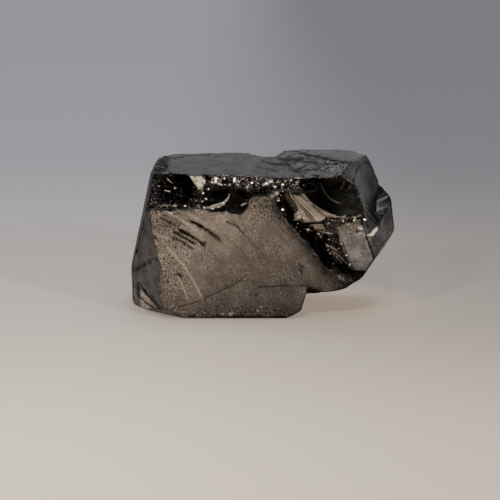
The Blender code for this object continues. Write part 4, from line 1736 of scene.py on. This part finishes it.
class FinishSettings(PropertyGroup):
    """Colours and shine of the stone's finishes."""

    bloom_light: colour_property("Bloom, light", "Old brown-grey faces", (0.45, 0.402, 0.345))
    # The dark bloom is also the tone that old faces take in painted shade
    bloom_dark: colour_property("Bloom, dark", "Darker clouds of the old faces", (0.37, 0.345, 0.320))
    bloom_speck: colour_property("Bloom, grain", "Fine grain of the old faces", (0.15, 0.130, 0.112))
    thread: colour_property("Threads", "Fine light lines of the old faces", (0.58, 0.50, 0.41))
    slate_light: colour_property("Slate, light", "Grey breaks", (0.140, 0.137, 0.138))
    slate_dark: colour_property("Slate, dark", "Darker clouds of grey breaks", (0.092, 0.090, 0.092))
    glass: colour_property("Glass", "Fresh glassy breaks", (0.012, 0.0115, 0.009))
    glass_veil: colour_property("Glass, veil", "Faint rings and dust on fresh breaks", (0.22, 0.21, 0.185))
    rubble: colour_property("Rubble", "Black rough breaks", (0.032, 0.029, 0.029))
    # The brown of the rubble is a painted reflection
    rubble_brown_reflection: colour_property("Rubble, brown", "Brown parts of rough breaks", (0.048, 0.036, 0.029))
    # The colour of the glints is a painted highlight
    painted_glint: colour_property("Glints", "Small mirror-like faces", (0.60, 0.54, 0.47))
    pit: colour_property("Pits", "Pits, grooves and cracks", (0.012, 0.011, 0.010))
    # The pale colour of the painted highlights on the hook and the bump
    crust_and_highlight: colour_property("Crust", "Pale crust", (0.75, 0.70, 0.52))
    ring_radius: FloatProperty(
        name="Ring radius", description="Pale ring of the right-hand shell, millimetres", default=4.15
    )
    weave_lean: FloatProperty(
        name="Grain lean", description="Lean of the fine grain, degrees", default=38.0
    )
    bloom_roughness: FloatProperty(name="Bloom roughness", description="Old faces", default=0.34)
    slate_roughness: FloatProperty(name="Slate roughness", description="Grey breaks", default=0.28)
    glass_roughness: FloatProperty(name="Glass roughness", description="Fresh breaks", default=0.28)
    glint_roughness: FloatProperty(name="Glint roughness", description="Rough breaks", default=0.14)


class StageSettings(PropertyGroup):
    """The pale table, the room and the lights."""

    # The table's colours carry painted light: near is brighter and warmer, far dimmer and cooler, and the
    # warm one is a painted pool of light under the overhang
    table_near: colour_property("Table, near", "The table by the stone", (0.655, 0.56, 0.488))
    table_far: colour_property("Table, far", "The table far behind", (0.32, 0.33, 0.372))
    table_warm_light: colour_property("Table, warm", "The table under the overhang", (0.95, 0.70, 0.50))
    table_glow: FloatProperty(
        name="Table glow", description="How much the light table shines by itself", default=0.32
    )
    room_front: colour_property("Room, front", "The dark room before the stone", (0.02, 0.02, 0.021))
    room_side: colour_property("Room, sides", "The sides of the room", (0.26, 0.26, 0.27))
    room_low: colour_property("Room, low", "The lowest part of the room", (0.22, 0.21, 0.20))
    room_window: colour_property("Room, window", "A low window at the right", (1.0, 0.96, 0.92))
    room_back: colour_property("Room, back", "The back of the room", (0.365, 0.365, 0.365))
    room_top: colour_property("Room, top", "The bright ceiling", (3.2, 3.1, 3.0))
    horizon: colour_property("Horizon", "The backdrop as seen", (0.33, 0.335, 0.355))
    glint_power: FloatProperty(
        name="Glint power", description="Each small lamp in front", default=0.37, unit="POWER"
    )


# ----------------------------------------------------------------------------- operators


def surface_mesh(name, points, quads, places):
    """A mesh from arrays of points in metres, quads of point numbers and their map places."""
    mesh = bpy.data.meshes.new(name)
    mesh.vertices.add(len(points))
    mesh.vertices.foreach_set("co", points.astype(np.float32).ravel())
    mesh.loops.add(quads.size)
    mesh.loops.foreach_set("vertex_index", quads.astype(np.int32).ravel())
    mesh.polygons.add(len(quads))
    mesh.polygons.foreach_set("loop_start", np.arange(0, quads.size, 4, dtype=np.int32))
    mesh.update(calc_edges=True)
    layer = mesh.uv_layers.new(name="OFBake", do_init=False)
    layer.uv.foreach_set("vector", places.astype(np.float32).ravel())
    mesh.shade_smooth()
    mesh.validate()
    return mesh


def store_colour(mesh, name, values):
    attribute = mesh.attributes.new(name, "FLOAT_COLOR", "POINT")
    attribute.data.foreach_set("color", values.astype(np.float32).ravel())


# Relief comes in where a grid line meets the surface this squarely, as a part of 1
SHEER = (0.15, 0.55)


class SHUNGITE_OT_stone(Operator):
    """Make the stone: one closed surface with its relief, finishes and material"""

    bl_idname = "shungite.stone"
    bl_label = "Make Stone"

    def execute(self, context):
        settings = context.scene.shungite_stone
        shares, quads, places = box_grid((settings.across, settings.deep, settings.high))
        outer = OUTER_LOW + shares * (OUTER_HIGH - OUTER_LOW)
        inner = INNER_LOW + shares * (INNER_HIGH - INNER_LOW)
        points = meet_stone(outer, inner)
        faces, away = directions(points)
        field = stone_field(points)
        height, dark, edge, light, shade, fan = stone_details(points, field, faces, away)
        way = outer - inner
        sheer = np.sum(faces * way, axis=1) / np.linalg.norm(way, axis=1)
        moved = points + faces * (height * smooth_step(*SHEER, sheer))[:, None]
        points, lit = add_glints(points, faces, moved)
        points[:, 2] = np.maximum(points[:, 2], 0.0)
        mesh = surface_mesh("shungite_stone", points * MM, quads, places)
        finish = np.where(fan > 0.5, OLD, field.finish)
        store_colour(mesh, "finish", np.eye(4)[finish])
        store_colour(mesh, "marks", np.stack([dark, edge, light, shade], 1))
        store_colour(mesh, "spots", spots(points, lit, fan, finish == OLD))
        mesh.materials.append(stone_material(context.scene.shungite_finish))
        stone = bpy.data.objects.new("stone", mesh)
        context.scene.collection.objects.link(stone)
        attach(stone, "root")
        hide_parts("shungite")
        return {"FINISHED"}


# The camera looks along +Y and down by the view angle, at this point in metres
CAMERA_TARGET = (-0.00216, 0.0, 0.00972)
CAMERA_DISTANCE = 0.260
FRAME_WIDTH_AT_TARGET = 0.0862
SENSOR_WIDTH = 36.0
CLIP_NEAR, CLIP_FAR = 0.01, 20.0

TABLE_RADIUS = 4.0
TABLE_RINGS, TABLE_SPOKES = 24, 96

# The small lamps: their share of the power, where they point, their distance, side and colour
LAMPS = {"left": 1.0, "right": 2.4, "high": 0.8}
LAMP_TARGET = (0.0, 0.0, 0.01)
LAMP_DISTANCE = 0.40
LAMP_SIZE = 0.035
LAMP_COLOUR = (1.0, 0.93, 0.84)


def hang(name, data, place, turn):
    """A new object in the scene, at a place and turned."""
    holder = bpy.data.objects.new(name, data)
    holder.location = place
    holder.rotation_euler = turn
    bpy.context.scene.collection.objects.link(holder)
    return holder


def add_camera():
    camera = bpy.data.cameras.new("camera")
    camera.sensor_width = SENSOR_WIDTH
    camera.lens = SENSOR_WIDTH * CAMERA_DISTANCE / FRAME_WIDTH_AT_TARGET
    camera.clip_start = CLIP_NEAR
    camera.clip_end = CLIP_FAR
    place = np.array(CAMERA_TARGET) + CAMERA_DISTANCE * facing(0.0, VIEW_ANGLE)
    turn = (math.radians(90.0 - VIEW_ANGLE), 0.0, 0.0)
    bpy.context.scene.camera = hang("camera", camera, place, turn)


def add_lamp(name, power):
    """A small square lamp in front of the stone, turned towards it."""
    light = bpy.data.lights.new(name, "AREA")
    light.shape = "SQUARE"
    light.size = LAMP_SIZE
    light.energy = power
    light.color = LAMP_COLOUR
    x, y, z = facing(*LIGHTS[name])
    turn = (math.atan2(math.hypot(x, y), z), 0.0, math.atan2(x, -y))
    hang(name, light, np.array(LAMP_TARGET) + LAMP_DISTANCE * np.array((x, y, z)), turn)


def table_mesh():
    """A round table: rings of points, where a point's radius grows with the square of its ring."""
    ring, spoke = np.meshgrid(np.arange(1, TABLE_RINGS + 1), np.arange(TABLE_SPOKES), indexing="ij")
    radius = TABLE_RADIUS * (ring / TABLE_RINGS) ** 2
    angle = 2.0 * math.pi * spoke / TABLE_SPOKES
    points = np.stack([radius * np.cos(angle), radius * np.sin(angle), np.zeros_like(radius)], -1)
    points = np.concatenate([np.zeros((1, 3)), points.reshape(-1, 3)])
    number = 1 + (ring - 1) * TABLE_SPOKES + spoke
    turned = np.roll(number, -1, axis=1)
    quads = np.stack([number[:-1], number[1:], turned[1:], turned[:-1]], -1).reshape(-1, 4)
    fans = np.stack([np.zeros(TABLE_SPOKES, int), number[0], turned[0]], -1)
    mesh = bpy.data.meshes.new("table")
    mesh.from_pydata(points.tolist(), [], quads.tolist() + fans.tolist())
    return mesh


class SHUNGITE_OT_stage(Operator):
    """Make the pale table, the room's light and the camera"""

    bl_idname = "shungite.stage"
    bl_label = "Make Stage"

    def execute(self, context):
        stage = context.scene.shungite_stage
        mesh = table_mesh()
        mesh.materials.append(table_material(stage))
        table = bpy.data.objects.new("table", mesh)
        context.scene.collection.objects.link(table)
        room_world(stage)
        for name, share in LAMPS.items():
            add_lamp(name, stage.glint_power * share)
        add_camera()
        return {"FINISHED"}


class SHUNGITE_PT_panel(Panel):
    """Sidebar panel that lists the steps and their settings"""

    bl_label = "Shungite"
    bl_idname = "SHUNGITE_PT_panel"
    bl_space_type = "VIEW_3D"
    bl_region_type = "UI"
    bl_category = "Shungite"

    def draw(self, context):
        scene = context.scene
        groups = (
            ("shungite.stone", scene.shungite_stone),
            ("shungite.stone", scene.shungite_finish),
            ("shungite.stage", scene.shungite_stage),
        )
        for operator, settings in groups:
            box = self.layout.box()
            for name in settings.__annotations__:
                box.prop(settings, name)
            box.operator(operator)


CLASSES = (
    StoneSettings,
    FinishSettings,
    StageSettings,
    SHUNGITE_OT_stone,
    SHUNGITE_OT_stage,
    SHUNGITE_PT_panel,
)


def register():
    for item in CLASSES:
        bpy.utils.register_class(item)
    bpy.types.Scene.shungite_stone = PointerProperty(type=StoneSettings)
    bpy.types.Scene.shungite_finish = PointerProperty(type=FinishSettings)
    bpy.types.Scene.shungite_stage = PointerProperty(type=StageSettings)


def unregister():
    del bpy.types.Scene.shungite_stage
    del bpy.types.Scene.shungite_finish
    del bpy.types.Scene.shungite_stone
    for item in reversed(CLASSES):
        bpy.utils.unregister_class(item)


def main():
    register()
    bpy.ops.shungite.stone()
    bpy.ops.shungite.stage()


if __name__ == "__main__":
    main()
